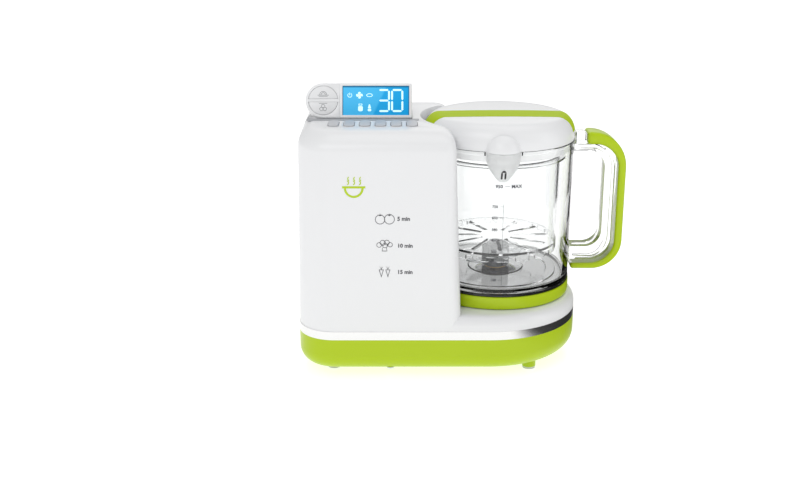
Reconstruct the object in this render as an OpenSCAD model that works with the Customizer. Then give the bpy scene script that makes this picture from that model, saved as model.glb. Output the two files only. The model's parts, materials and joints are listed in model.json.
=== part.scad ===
// Baby food maker: a steaming tower with a pop-up display, beside a blending jug on a motor base.
// Millimetres. +Z is up, +X runs from the tower to the jug's handle, -Y is the front.
// The origin is on the surface it stands on, under the middle of its overall length and depth.

/* [Overall] */
// Length over the tower and the jug's handle
overall_l = 270.8; // [268:0.2:280]
// Length of the tower and base without the handle
body_l = 233.2; // [230:0.2:236]
// Depth, front to back
depth = 156; // [150:1:160]
// Height of the tower's flat top
tower_h = 203; // [200:1:210]

/* [Base] */
// Height of the feet under the tray
foot_h = 6.6; // [5:0.1:8]
// Top of the green tray
tray_top = 34.7; // [32:0.1:36]
// Top of the bright trim strip
trim_top = 41.7; // [40:0.1:44]
// Top of the deck that carries the jug
deck_top = 54; // [52:1:58]
// Radius of the tray's rolled bottom edge
tray_roll = 14; // [8:1:20]
// Radius of the deck's rolled top edge
deck_roll = 8; // [4:1:9]
// Wall thickness of the housing mouldings
wall = 2.6; // [2:0.2:3]

/* [Tower] */
// Radius of the tower's left corners
tower_corner = 30; // [20:1:34]
// Radius of the tower's top edge
tower_roll = 14; // [10:1:18]
// Radius of the hollow in the tower's side that the jug stands in
bay_r = 65.5; // [64.5:0.5:67]
// How far the tower's jug side leans in over its height
tower_lean = 6; // [2:1:8]

/* [Jug] */
// Distance from the body's left end to the jug's axis
jug_from_left = 165; // [163:0.5:167]
// Outer radius of the jug at its foot
jug_r = 61.6; // [60:0.2:62]
// Outer radius of the jug's rim
rim_r = 62.6; // [62.2:0.1:63]
// Height of the jug's rim above the surface
rim_z = 185.4; // [182:0.2:188]
// Wall of the jug
jug_wall = 3; // [2.5:0.1:3.4]
// Radius of the steam basket
basket_r = 51.5; // [48:0.5:53]
// Radius of the pouring spout
spout_r = 14.5; // [12:0.5:15]

/* [Handle] */
// Top of the handle
handle_top = 190.8; // [190:0.2:194]
// Bottom of the handle
handle_bottom = 72.4; // [71:0.1:73]
// Thickness of the handle's outer grip
grip_t = 6.5; // [5:0.5:8]
// Width of the grip, front to back
grip_w = 22; // [18:1:26]

/* [Lid] */
// Outer radius of the lid
lid_r = 62.4; // [62:0.1:62.5]
// Top of the lid
lid_top = 206.4; // [205:0.1:209]
// Radius of the lid's shoulder
lid_roll = 13.5; // [10:0.5:16]
// Front edge of the coloured band over the lid
band_front = -22; // [-26:1:-18]
// Back edge of the coloured band over the lid
band_back = 4; // [2:1:14]

/* [Display] */
// Length of the pop-up display
pod_l = 87; // [84:1:88]
// Height of the display's face
pod_h = 29; // [27:0.5:30]
// Thickness of the display
pod_t = 11.5; // [10:0.5:11.5]
// Angle of the raised display from lying flat
pod_raise = 67; // [55:1:75]
// Number of soft keys in front of the display
key_count = 6; // [4:1:6]
// Spacing of the soft keys
key_pitch = 12.5; // [12:0.1:12.6]

/* [Hidden] */

$fn = 64;
eps = 0.01;
hull_fn = 32;

left_x = -overall_l / 2;
right_x = overall_l / 2;
half_d = depth / 2;
end_x = left_x + body_l - half_d;
jug_x = left_x + jug_from_left;

// tower
tower_right = left_x + 132.3;
rib_r = 9;

// display: the hinge line, and the display's own span while it lies flat
hinge_y = -10.5;
hinge_z = tower_h - 4;
hinge_r = 3.6;
pin_r = 1.55;
pod_x0 = left_x + 5.6;
pod_x1 = pod_x0 + pod_l;
pod_y0 = -7.5;
pod_r = pod_h / 2;
pod_cx = pod_x0 + pod_r;
pod_cy = pod_y0 + pod_r;
pod_z0 = tower_h - pod_t;
bezel_t = 2.2;
bezel_z = tower_h - bezel_t;
button_r = 12;
button_bar = 2.4;
lcd_x0 = pod_x0 + 30.2;
lcd_x1 = pod_x1 - 2.2;
lcd_h = 24.5;
ear_t = 3.2;
ear_r = 2.5;
barrel_x0 = pod_cx;
barrel_x1 = pod_x1 - ear_t - 0.7;

// pocket that the display folds into
pocket_wall = 1.5;
pocket_x0 = pod_x0 - 1.5;
pocket_x1 = pod_x1 + 1;
pocket_y0 = -15.2;
pocket_y1 = pod_y0 + pod_h + 2;
pocket_z = pod_z0 - 1.1;

// keys
key_w = 8.4;
key_len = 22;
key_y = -36;
key_x1 = pod_x0 + 24.2;
key_proud = 0.8;
key_travel = 0.8;
key_gap = 0.4;

// steam outlet, at the back left of the jug's bay
port_turn = 150;
port_z = 190.4;
port_r = 3;
pipe_r = 4;
riser_at = 86;

// water tank
tank_x0 = left_x + 17;
tank_x1 = left_x + 84;
tank_y0 = 26;
tank_y1 = 66;
tank_z0 = 95;
tank_z1 = 192;
neck_x = left_x + 49;
neck_y = 44;
neck_r = 12;

// motor and drive
shaft_r = 3;
shaft_fit = 0.05;
can_r = 30;
can_z0 = 15;
can_z1 = 47;
hex_r = 7;
drive_top = 64.5;
floor_z = 70.7;
hub_top = 90.7;

// jug and its fittings
collar_z0 = deck_top + 0.5;
collar_z1 = 65.2;
gasket_z1 = 69.5;
basket_z0 = 92;
basket_z1 = 173;
basket_floor = 97;
lid_z0 = rim_z + 0.3;
spout_y = -56;
spout_x = jug_x - 1.4;
spout_z0 = 161;

// handle
frame_x1 = right_x - grip_t;
frame_top = 180.4;
frame_bottom = 77.6;
gap_x1 = right_x - 17.8;
gap_z0 = 92.1;
gap_z1 = 174.9;
grip_start = right_x - 33.1;

// rear panel and gland
panel_x0 = left_x + 31;
panel_x1 = left_x + 106;
panel_z0 = 66;
panel_z1 = 182;
tab_t = 3.2;
gland_x = left_x + 45;
gland_z = 76;
gland_bore = 3.5;

foot_at = [[left_x + 28, -50], [left_x + 28, 50], [end_x + 35.3, -52], [end_x + 35.3, 52]];
screw_at = [[left_x + 14, -30], [left_x + 14, 30], [left_x + 75, -68], [left_x + 75, 68], [end_x + 66, 0]];

// ---------------------------------------------------------------- shared shapes

// Half of an upright section: from the axis out to w, with rolled lower and upper outer corners.
module half_section(w, z0, z1, rb = 0, rt = 0) {
    translate([0, z0 + rb]) square([w, z1 - z0 - rb - rt]);
    if (rb > 0) {
        translate([0, z0]) square([w - rb, rb + eps]);
        translate([w - rb, z0 + rb]) intersection() {
            circle(r = rb);
            translate([0, -rb]) square([rb, rb + eps]);
        }
    }
    if (rt > 0) {
        translate([0, z1 - rt - eps]) square([w - rt, rt + eps]);
        translate([w - rt, z1 - rt]) intersection() {
            circle(r = rt);
            translate([0, -eps]) square([rt, rt + eps]);
        }
    }
}

// The base's footprint as a solid: round at the jug's end, with two round corners at the other.
module base_form(z0, z1, inset = 0, rb = 0, rt = 0) {
    w = half_d - inset;
    c = tower_corner - inset;
    cx = left_x + tower_corner;
    cy = half_d - tower_corner;
    translate([end_x, 0, 0]) rotate_extrude() half_section(w, z0, z1, rb, rt);
    translate([cx, 0, 0]) rotate([90, 0, 90]) linear_extrude(end_x - cx) {
        half_section(w, z0, z1, rb, rt);
        mirror([1, 0]) half_section(w, z0, z1, rb, rt);
    }
    for (side = [-1, 1]) translate([cx, side * cy, 0]) rotate_extrude() half_section(c, z0, z1, rb, rt);
    translate([cx, cy, 0]) rotate([90, 0, 0]) linear_extrude(2 * cy)
        mirror([1, 0]) half_section(c, z0, z1, rb, rt);
}

// The tower's outer form, shrunk by an inset on every side but its foot.
module tower_form(inset, z0, z1) {
    right_top = tower_right - tower_lean;
    roll = tower_roll - inset;
    hull() {
        for (side = [-1, 1]) {
            translate([left_x + tower_corner, side * (half_d - tower_corner), z0])
                cylinder(r = tower_corner - inset, h = 1, $fn = 2 * hull_fn);
            translate([tower_right - rib_r, side * (half_d - rib_r), z0])
                cylinder(r = rib_r - inset, h = 1, $fn = hull_fn);
            translate([left_x + tower_corner + 2, side * (half_d - tower_corner), 0])
                rotate_extrude($fn = 2 * hull_fn)
                    half_section(tower_corner - inset, z1 - roll - 1, z1, 0, roll);
            translate([right_top - tower_roll, side * (half_d - tower_roll), 0])
                rotate_extrude($fn = hull_fn)
                    half_section(roll, z1 - roll - 1, z1, 0, roll - eps);
        }
    }
}

// A column on the jug's axis.
module on_jug(z) {
    translate([jug_x, 0, z]) children();
}

// Parts of the display, drawn lying flat and swung up to the raised position.
module raised() {
    translate([0, hinge_y, hinge_z]) rotate([pod_raise, 0, 0]) translate([0, -hinge_y, -hinge_z])
        children();
}

// A plate with one round end, as the display is seen from the front.
module pod_plate(z0, z1, inset) {
    translate([pod_cx, pod_cy, z0]) cylinder(r = pod_r - inset, h = z1 - z0);
    translate([pod_cx, pod_y0 + inset, z0])
        cube([pod_x1 - pod_cx - inset, pod_h - 2 * inset, z1 - z0]);
}

// A slot with round ends along Y.
module key_form(w, len, z0, z1) {
    for (side = [-1, 1]) translate([0, side * (len - w) / 2, z0]) cylinder(d = w, h = z1 - z0);
    translate([-w / 2, -(len - w) / 2, z0]) cube([w, len - w, z1 - z0]);
}

// One key's place: keys count from the left.
module at_key(index) {
    translate([key_x1 + (index - 1) * key_pitch, key_y, 0]) children();
}

// ---------------------------------------------------------------- base

module base_tray() color("yellowgreen") {
    difference() {
        union() {
            difference() {
                base_form(foot_h, tray_top, 0, tray_roll, 0);
                base_form(foot_h + wall, tray_top + 1, wall, tray_roll - wall, 0);
            }
            for (at = foot_at) translate([at[0], at[1], 2]) cylinder(r = 5.6, h = foot_h - 2 + wall);
            for (at = screw_at) translate([at[0], at[1], foot_h + wall - eps]) cylinder(r = 5, h = 3);
        }
        for (at = screw_at) {
            translate([at[0], at[1], foot_h - 1]) cylinder(r = 3.6, h = 2.4);
            translate([at[0], at[1], foot_h]) cylinder(r = 1.9, h = 8);
        }
        for (turn = [0 : 30 : 330]) on_jug(foot_h - 1) rotate([0, 0, turn]) translate([14, 0, 0])
            air_slot();
    }
}

// One radial air slot under the motor's fan.
module air_slot() {
    translate([0, -1.2, 0]) cube([14, 2.4, wall + 2]);
}

module foot_pads() color("gainsboro") {
    for (at = foot_at) translate([at[0], at[1], 0]) cylinder(r = 5.2, h = 2);
}

module chrome_trim() color("silver") {
    difference() {
        base_form(tray_top, trim_top);
        base_form(tray_top - 1, trim_top + 1, 1.2);
    }
}

module base_deck() color("white") {
    difference() {
        union() {
            base_form(trim_top, deck_top, 0, 0, deck_roll);
            intersection() {
                base_form(trim_top, deck_top);
                translate([left_x - 1, -half_d - 1, trim_top]) cube([tower_right - left_x + 1, depth + 2, 20]);
            }
            base_form(tray_top, trim_top, 1.3);
        }
        base_form(tray_top - 1, deck_top - wall, 1.3 + wall, 0, deck_roll - wall);
        on_jug(deck_top - 2 * wall) cylinder(r = 10, h = 3 * wall);
        translate([left_x + 40, -40, deck_top - 2 * wall]) cube([44, 80, 3 * wall]);
    }
    for (at = screw_at) translate([at[0], at[1], 0]) difference() {
        translate([0, 0, 13]) cylinder(r = 4.4, h = deck_top - wall - 13 + eps);
        translate([0, 0, 12]) cylinder(r = 1.65, h = 22);
    }
}

module base_screws() color("silver") {
    for (at = screw_at) translate([at[0], at[1], 0]) {
        translate([0, 0, foot_h + 0.2]) cylinder(r = 3.2, h = 1.2);
        translate([0, 0, foot_h + 1.3]) cylinder(r = 1.6, h = 18);
    }
}

// ---------------------------------------------------------------- tower

module tower_shell() color("white") {
    difference() {
        tower_form(0, deck_top, tower_h);
        difference() {
            tower_form(wall, deck_top - 2, tower_h - wall);
            on_jug(deck_top - 3) cylinder(r = bay_r + wall, h = tower_h);
        }
        on_jug(deck_top - 3) cylinder(r = bay_r, h = tower_h);
        translate([pocket_x0, pocket_y0, pocket_z - pocket_wall - 0.1])
            cube([pocket_x1 - pocket_x0, pocket_y1 - pocket_y0, 2 * pod_t]);
        for (index = [1 : key_count]) at_key(index)
            key_form(key_w + 2 * key_gap, key_len + 2 * key_gap, tower_h - 2 * wall, tower_h + 1);
        translate([neck_x, neck_y, tower_h - 2 * wall]) cylinder(r = neck_r + 1.5, h = 3 * wall);
        translate([panel_x0, half_d - 2 * wall, panel_z0])
            cube([panel_x1 - panel_x0, 3 * wall, panel_z1 - panel_z0]);
        on_jug(port_z) rotate([0, 0, port_turn]) translate([bay_r - 2, 0, 0])
            rotate([0, 90, 0]) cylinder(r = 5.1, h = 8);
    }
    for (at = panel_screws()) panel_tab(at);
}

// A tab behind the rear panel's edge, with the pilot hole for one of its screws.
module panel_tab(at) {
    on_left = at[0] < (panel_x0 + panel_x1) / 2;
    tab_x = on_left ? panel_x0 - 4 : panel_x1 - 12;
    root_x = on_left ? panel_x0 - 4 : panel_x1 + 0.5;
    difference() {
        union() {
            translate([tab_x, half_d - wall - tab_t, at[1] - 6]) cube([16, tab_t - 0.1, 12]);
            translate([root_x, half_d - wall - tab_t, at[1] - 6]) cube([3.5, tab_t + 1, 12]);
        }
        translate([at[0], half_d, at[1]]) rotate([90, 0, 0]) cylinder(r = 1.55, h = 12);
    }
}

module rear_panel() color("white") {
    difference() {
        translate([panel_x0 + 0.2, half_d - wall, panel_z0 + 0.2])
            cube([panel_x1 - panel_x0 - 0.4, wall, panel_z1 - panel_z0 - 0.4]);
        for (row = [0 : 7]) translate([left_x + 60, half_d - wall - 1, 74 + 5 * row])
            cube([34, wall + 2, 2]);
        translate([gland_x, half_d - wall - 1, gland_z]) rotate([-90, 0, 0]) cylinder(r = 7, h = wall + 2);
        for (at = panel_screws()) translate([at[0], half_d + 1, at[1]]) rotate([90, 0, 0]) {
            cylinder(r = 1.6, h = wall + 2);
            cylinder(r = 3.1, h = 2.5);
        }
    }
}

function panel_screws() =
    [for (x = [panel_x0 + 6, panel_x1 - 6]) for (z = [panel_z0 + 40, panel_z1 - 6]) [x, z]];

module rear_screws() color("silver") {
    for (at = panel_screws()) translate([at[0], half_d - 0.2, at[1]]) rotate([90, 0, 0]) {
        cylinder(r = 1.5, h = 10);
        cylinder(r = 2.8, h = 1.3);
    }
}

module cord_gland() color("dimgray") {
    translate([gland_x, half_d, gland_z]) rotate([90, 0, 0]) difference() {
        union() {
            cylinder(r = 6.9, h = 10);
            translate([0, 0, wall + 0.05]) cylinder(r = 9, h = 3);
        }
        translate([0, 0, -1]) cylinder(r = gland_bore, h = 16);
    }
}

module pod_pocket() color("lightgray") {
    intersection() {
        difference() {
            translate([pocket_x0 + 0.05, pocket_y0 + 0.05, pocket_z - pocket_wall])
                cube([pocket_x1 - pocket_x0 - 0.1, pocket_y1 - pocket_y0 - 0.1,
                      tower_h - pocket_z + pocket_wall]);
            translate([pocket_x0 + 0.6, pocket_y0 + 0.6, pocket_z])
                cube([pocket_x1 - pocket_x0 - 1.2, pocket_y1 - pocket_y0 - 1.2, pod_t + 2]);
        }
        tower_form(0.4, deck_top, tower_h - 0.4);
    }
    for (x = [barrel_x0 - ear_t - 0.3, barrel_x1 + 0.3]) difference() {
        union() {
            translate([x, hinge_y - ear_r, pocket_z - eps]) cube([ear_t, 2 * ear_r, hinge_z - pocket_z]);
            translate([x, hinge_y, hinge_z]) rotate([0, 90, 0]) cylinder(r = ear_r, h = ear_t);
        }
        translate([x - 1, hinge_y, hinge_z]) rotate([0, 90, 0]) cylinder(r = pin_r + 0.02, h = ear_t + 2);
    }
}

module pod_hinge_pins() color("silver") {
    for (x = [barrel_x0 - ear_t - 0.3, barrel_x1 + ear_t + 0.3 - 9]) translate([x, hinge_y, hinge_z])
        rotate([0, 90, 0]) cylinder(r = pin_r, h = 9);
}

module key_board() color("seagreen") {
    translate([left_x + 21, key_y - 14, 194]) cube([75, 27, 1.6]);
    for (index = [1 : key_count]) at_key(index) translate([-2, -2, 195.6 - eps]) cube([4, 4, 1.6]);
}

module control_board() color("seagreen") {
    board_x = left_x + 22;
    translate([board_x, -66, 84]) cube([88, 1.6, 96]);
    translate([board_x + 30, -64.5, 120]) cube([14, 2, 14]);
    translate([board_x + 8, -64.5, 96]) cube([30, 9, 7]);
    for (step = [0 : 3]) translate([board_x + 52 + 8 * step, -64.5, 150]) rotate([-90, 0, 0])
        cylinder(r = 3, h = 8);
}

module power_board() color("seagreen") {
    board_x = left_x + 14;
    translate([board_x, -58, 60]) cube([82, 52, 1.6]);
    translate([board_x + 6, -50, 61.6 - eps]) cube([32, 28, 26]);
    translate([board_x + 46, -50, 61.6 - eps]) cube([20, 16, 15]);
    for (step = [0 : 1]) translate([board_x + 50 + 16 * step, -20, 61.6 - eps]) cylinder(r = 6, h = 20);
}

module water_tank() color("aliceblue") {
    difference() {
        union() {
            translate([tank_x0, tank_y0, tank_z0])
                cube([tank_x1 - tank_x0, tank_y1 - tank_y0, tank_z1 - tank_z0 - 6]);
            translate([neck_x, neck_y, tank_z1 - 7]) cylinder(r = neck_r, h = tower_h - tank_z1 + 7);
        }
        translate([tank_x0 + 2, tank_y0 + 2, tank_z0 + 2])
            cube([tank_x1 - tank_x0 - 4, tank_y1 - tank_y0 - 4, tank_z1 - tank_z0 - 10]);
        translate([neck_x, neck_y, tank_z1 - 12]) cylinder(r = neck_r - 2, h = 30);
        translate([left_x + 62, 40, tank_z0 - 1]) cylinder(r = 2.5, h = 4);
    }
}

module boiler() color("lightsteelblue") {
    translate([left_x + 70.6, 36, 58]) {
        cylinder(r = 27, h = 26);
        translate([0, 0, 26 - eps]) cylinder(r = 16, h = 4 + eps);
        for (side = [-1, 1]) translate([side * 12, -29, 10]) rotate([-90, 0, 0]) cylinder(r = 2.5, h = 6);
    }
}

module feed_hose() color("whitesmoke") {
    translate([left_x + 62, 40, 88]) difference() {
        cylinder(r = 4.5, h = tank_z0 - 88);
        translate([0, 0, -1]) cylinder(r = 2.5, h = 12);
    }
}

module steam_pipe() color("whitesmoke") {
    on_jug(0) rotate([0, 0, port_turn]) {
        translate([riser_at, 0, 84]) cylinder(r = pipe_r, h = port_z - 84);
        translate([riser_at, 0, port_z]) sphere(r = pipe_r);
        translate([bay_r + wall + 4, 0, port_z]) rotate([0, 90, 0])
            cylinder(r = pipe_r, h = riser_at - bay_r - wall - 4);
    }
}

module steam_nozzle() color("dimgray") {
    on_jug(port_z) rotate([0, 0, port_turn]) rotate([0, 90, 0]) difference() {
        union() {
            translate([0, 0, bay_r - 1.5]) cylinder(r = 5, h = wall + 5.5);
            translate([0, 0, bay_r + wall + 1]) cylinder(r = 6.5, h = 3);
        }
        translate([0, 0, bay_r - 3]) cylinder(r = port_r, h = wall + 6.9);
    }
}

module lid_switch() color("black") {
    on_jug(184) rotate([0, 0, 203]) translate([71, 0, 0]) cylinder(r = 2, h = 12);
}

module tank_cap() color("white") {
    translate([neck_x, neck_y, 0]) difference() {
        union() {
            translate([0, 0, tower_h + 0.3]) cylinder(r = 16, h = 3);
            translate([0, 0, tower_h - 7]) cylinder(r = neck_r - 3.4, h = 7.4);
            for (turn = [0 : 15 : 345]) rotate([0, 0, turn]) translate([16, 0, tower_h + 0.5])
                cylinder(r = 0.9, h = 2.4);
        }
        translate([0, 0, tower_h - 8]) cylinder(r = neck_r - 5.4, h = 8);
    }
}

module tank_cap_seal() color("dimgray") {
    translate([neck_x, neck_y, tower_h - 5]) difference() {
        cylinder(r = neck_r - 2.3, h = 2.5);
        translate([0, 0, -1]) cylinder(r = neck_r - 3.35, h = 5);
    }
}

// ---------------------------------------------------------------- keys

// One soft key, with the flange that holds it under the tower's top.
module soft_key(index) color("darkgray") {
    at_key(index) {
        key_form(key_w, key_len, tower_h - wall - 1.8, tower_h + key_proud);
        key_form(key_w + 2.4, key_len + 2.4, tower_h - wall - 1.8, tower_h - wall - 0.3);
    }
}

// ---------------------------------------------------------------- display

module pod_case() color("white") {
    raised() {
        difference() {
            pod_plate(pod_z0, bezel_z, 0);
            pod_plate(pod_z0 + 1.6, bezel_z + 1, 1.6);
        }
        difference() {
            union() {
                translate([barrel_x0, hinge_y, hinge_z]) rotate([0, 90, 0])
                    cylinder(r = hinge_r, h = barrel_x1 - barrel_x0);
                translate([barrel_x0, hinge_y, hinge_z - 1.5])
                    cube([barrel_x1 - barrel_x0, pod_y0 - hinge_y + 0.8, 3]);
            }
            translate([barrel_x0 - 1, hinge_y, hinge_z]) rotate([0, 90, 0])
                cylinder(r = pin_r + 0.07, h = barrel_x1 - barrel_x0 + 2);
        }
    }
}

module pod_bezel() color("white") {
    raised() difference() {
        pod_plate(bezel_z, tower_h, 0);
        translate([lcd_x0, pod_cy - lcd_h / 2, bezel_z - 1]) cube([lcd_x1 - lcd_x0, lcd_h, bezel_t + 2]);
        difference() {
            translate([pod_cx, pod_cy, bezel_z - 1]) cylinder(r = button_r + 0.3, h = bezel_t + 2);
            translate([pod_cx - 20, pod_cy - button_bar / 2, bezel_z - 2])
                cube([40, button_bar, bezel_t + 4]);
        }
    }
}

module lcd_panel() color("deepskyblue") {
    raised() translate([lcd_x0 + 0.05, pod_cy - lcd_h / 2 + 0.05, bezel_z - 1.4])
        cube([lcd_x1 - lcd_x0 - 0.1, lcd_h - 0.1, bezel_t + 1]);
}

module pod_board() color("seagreen") {
    raised() translate([pod_cx - 6, pod_y0 + 3, pod_z0 + 3]) cube([pod_x1 - pod_cx + 2, pod_h - 6, 1.6]);
}

// One of the two half-round buttons: side is 1 for the upper and -1 for the lower.
module half_button(side) color("white") {
    raised() translate([pod_cx, pod_cy, 0]) intersection() {
        union() {
            translate([0, 0, bezel_z - 1.6]) cylinder(r = button_r, h = bezel_t + 1.9);
            translate([0, 0, bezel_z - 1.6]) cylinder(r = button_r + 0.7, h = 1.3);
        }
        translate([-20, side > 0 ? button_bar / 2 + 0.3 : -20, bezel_z - 3])
            cube([40, 20 - button_bar / 2 - 0.3, 12]);
    }
}

// ---------------------------------------------------------------- motor and drive

module motor_can() color("silver") {
    on_jug(can_z0) difference() {
        cylinder(r = can_r, h = can_z1 - can_z0);
        translate([0, 0, 1.5]) cylinder(r = can_r - 1.5, h = can_z1 - can_z0 - 3);
        translate([0, 0, -1]) cylinder(r = 8.02, h = can_z1 - can_z0 + 2);
    }
}

module motor_magnets() color("dimgray") {
    on_jug(21) difference() {
        cylinder(r = can_r - 1.6, h = 20);
        translate([0, 0, -1]) cylinder(r = 20, h = 22);
    }
}

module motor_bearings() color("goldenrod") {
    for (z = [can_z0, can_z1 - 5]) on_jug(z) difference() {
        cylinder(r = 8, h = 5);
        translate([0, 0, -1]) cylinder(r = shaft_r + shaft_fit, h = 7);
    }
}

module motor_bracket() color("gray") {
    on_jug(43) difference() {
        union() {
            cylinder(r = can_r + 3, h = 3);
            for (turn = [45 : 90 : 315]) rotate([0, 0, turn]) translate([can_r + 1, -6, 0]) cube([13, 12, 3]);
        }
        translate([0, 0, -1]) cylinder(r = can_r + 0.05, h = 5);
    }
}

module motor_isolators() color("black") {
    for (turn = [45 : 90 : 315]) on_jug(46) rotate([0, 0, turn]) translate([38, 0, 0])
        cylinder(r = 5, h = deck_top - wall - 46);
}

module drive_seal() color("black") {
    on_jug(deck_top - 3.6) difference() {
        cylinder(r = 9.95, h = 5);
        translate([0, 0, -1]) cylinder(r = shaft_r + shaft_fit, h = 7);
    }
}

module motor_shaft() color("silver") {
    on_jug(10.8) cylinder(r = shaft_r, h = drive_top - 10.8);
}

module motor_rotor() color("darkgoldenrod") {
    on_jug(22) difference() {
        union() {
            cylinder(r = 19.4, h = 18);
            translate([0, 0, -1.6]) cylinder(r = 12, h = 21);
        }
        translate([0, 0, -3]) cylinder(r = shaft_r + 0.02, h = 26);
    }
}

module cooling_fan() color("black") {
    on_jug(10.6) difference() {
        union() {
            cylinder(r = 7, h = 3.8);
            for (turn = [0 : 45 : 315]) rotate([0, 0, turn]) translate([5, 0, 1.9])
                rotate([30, 0, 0]) translate([0, -2, -0.6]) cube([17, 4, 1.2]);
        }
        translate([0, 0, 0.2]) cylinder(r = shaft_r + 0.02, h = 6);
    }
}

module drive_coupling() color("dimgray") {
    on_jug(56) difference() {
        cylinder(r = hex_r, h = drive_top - 56, $fn = 6);
        translate([0, 0, -1]) cylinder(r = shaft_r + 0.02, h = 12);
    }
}

// ---------------------------------------------------------------- jug

// The jug's outside, grown by a gap.
module jug_outside(gap = 0) {
    on_jug(gasket_z1) cylinder(r1 = jug_r + gap, r2 = rim_r - 0.4 + gap, h = 175 - gasket_z1);
    on_jug(175 - eps) cylinder(r = rim_r + gap, h = rim_z - 175);
}

module jug_body() color("lightcyan", 0.4) {
    difference() {
        union() {
            jug_outside();
            on_jug(68) cylinder(r = jug_r - 5.7, h = 2);
            translate([spout_x, spout_y, spout_z0]) cylinder(r1 = 2.5, r2 = spout_r, h = rim_z - spout_z0);
        }
        on_jug(floor_z) cylinder(r1 = jug_r - jug_wall, r2 = rim_r - jug_wall, h = rim_z - floor_z + eps);
        on_jug(60) cylinder(r = 7.05, h = 20);
        translate([spout_x, spout_y, spout_z0 + 3])
            cylinder(r1 = 1.5, r2 = spout_r - 2, h = rim_z - spout_z0 - 3 + eps);
    }
}

module jug_collar() color("yellowgreen") {
    on_jug(0) rotate_extrude() {
        translate([58.8, collar_z0]) square([3.4, collar_z1 - collar_z0]);
        translate([18, collar_z1 - 2.6]) square([41, 2.6]);
    }
}

module jug_gasket() color("black") {
    on_jug(collar_z1) difference() {
        cylinder(r = jug_r + 0.4, h = gasket_z1 - collar_z1);
        translate([0, 0, -1]) cylinder(r = jug_r - 5.6, h = 8);
    }
}

// The handle's outline as seen from the front, square at the jug and round at its outer corners.
module handle_outline(x1, z0, z1, r0, r1) {
    x0 = jug_x + 40;
    translate([x0, z0]) square([x1 - r0 - x0, z1 - z0]);
    translate([x0, z0 + r0]) square([x1 - x0, z1 - z0 - r0 - r1]);
    translate([x1 - r0, z0 + r0]) circle(r = r0);
    translate([x0, z0]) square([x1 - r1 - x0, z1 - z0]);
    translate([x1 - r1, z1 - r1]) circle(r = r1);
}

// Extrudes an outline on the XZ plane to a width, centred on the jug's axis.
module across(w) {
    translate([0, w / 2, 0]) rotate([90, 0, 0]) linear_extrude(w) children();
}

module handle_frame() color("lightcyan", 0.4) {
    difference() {
        union() {
            across(18) difference() {
                handle_outline(frame_x1, frame_bottom, frame_top, 20, 20);
                handle_outline(gap_x1, gap_z0, gap_z1, 14, 14);
            }
            translate([jug_x + 50, -7, frame_top - 1]) cube([grip_start - jug_x - 50.3, 14, 10.5]);
        }
        jug_outside(0.05);
        on_jug(rim_z - 1) cylinder(r = rim_r + 0.3, h = 30);
        on_jug(frame_bottom - 6) cylinder(r = jug_r + 0.05, h = 120);
    }
}

module handle_grip() color("yellowgreen") {
    across(grip_w) difference() {
        handle_outline(right_x, handle_bottom, handle_top, 25, 30);
        handle_outline(frame_x1 + 0.05, frame_bottom - 0.05, frame_top + 0.05, 20, 20);
        translate([jug_x, frame_top - 2]) square([grip_start - jug_x, 40]);
        translate([jug_x, handle_bottom - 2]) square([rim_r + 0.6, 60]);
    }
}

module shaft_bush() color("darkgoldenrod") {
    on_jug(67.8) difference() {
        union() {
            cylinder(r = 7, h = 4.4);
            translate([0, 0, floor_z - 67.8]) cylinder(r = 9.5, h = 1.5);
        }
        translate([0, 0, -1]) cylinder(r = shaft_r + shaft_fit, h = 8);
    }
}

module blade_shaft() color("silver") {
    on_jug(65.2) cylinder(r = shaft_r, h = 22);
}

module blade_hub() color("dimgray") {
    on_jug(floor_z + 2) difference() {
        union() {
            cylinder(r = 11.7, h = hub_top - floor_z - 3.5);
            cylinder(r = 9.7, h = hub_top - floor_z - 2);
        }
        translate([0, 0, -1]) cylinder(r = shaft_r + 0.02, h = 87.2 - floor_z - 1);
        for (lift = [3.6, 13.6]) translate([0, 0, lift]) blade_slot();
    }
}

// The slot in the hub that a pair of blades passes through.
module blade_slot() {
    translate([-6.55, -12, -0.05]) cube([13.1, 24, 1.5]);
}

// One pair of swept blades, flat, on the shaft's axis.
module blade_pair(reach, sweep) {
    difference() {
        for (side = [0, 180]) rotate([0, 0, side]) linear_extrude(1.4)
            polygon([[-6.5, 0], [6.5, 0], [6.5, 11], [sweep + 4, reach - 6], [sweep - 2, reach],
                     [sweep - 8, reach - 3], [-6.5, 14]]);
        translate([0, 0, -1]) cylinder(r = shaft_r + 0.02, h = 4);
    }
}

module lower_blades() color("silver") {
    on_jug(floor_z + 5.6) blade_pair(30, -7);
}

module upper_blades() color("silver") {
    on_jug(floor_z + 15.6) blade_pair(25, 5);
}

module driven_coupling() color("black") {
    on_jug(56.8) difference() {
        cylinder(r = 12, h = 10.6);
        translate([0, 0, -1]) cylinder(r = hex_r + 0.7, h = 9.3, $fn = 6);
        translate([0, 0, 5]) cylinder(r = shaft_r + 0.02, h = 8);
    }
}

module steam_basket() color("lightcyan", 0.4) {
    on_jug(0) difference() {
        union() {
            translate([0, 0, basket_z0]) cylinder(r = basket_r, h = basket_z1 - basket_z0);
            translate([0, 0, basket_z1 - 2]) cylinder(r = basket_r + 4.5, h = 2);
        }
        translate([0, 0, basket_floor + 2]) cylinder(r = basket_r - 1.8, h = basket_z1 - basket_floor);
        translate([0, 0, basket_z0 - 1]) cylinder(r = basket_r - 1.8, h = basket_floor - basket_z0 + 1);
        for (turn = [0 : 20 : 340]) rotate([0, 0, turn]) translate([basket_r - 6, -3, basket_z0 - 1])
            cube([10, 6, 4.5]);
        for (turn = [0 : 30 : 330]) rotate([0, 0, turn]) translate([14, -1.5, basket_floor - 1])
            cube([30, 3, 5]);
    }
}

// ---------------------------------------------------------------- lid

// The lid's outer form, shrunk by an inset.
module lid_form(inset, z0) {
    on_jug(0) rotate_extrude()
        half_section(lid_r - inset, z0, lid_top - inset, 0, lid_roll - inset);
}

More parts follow.
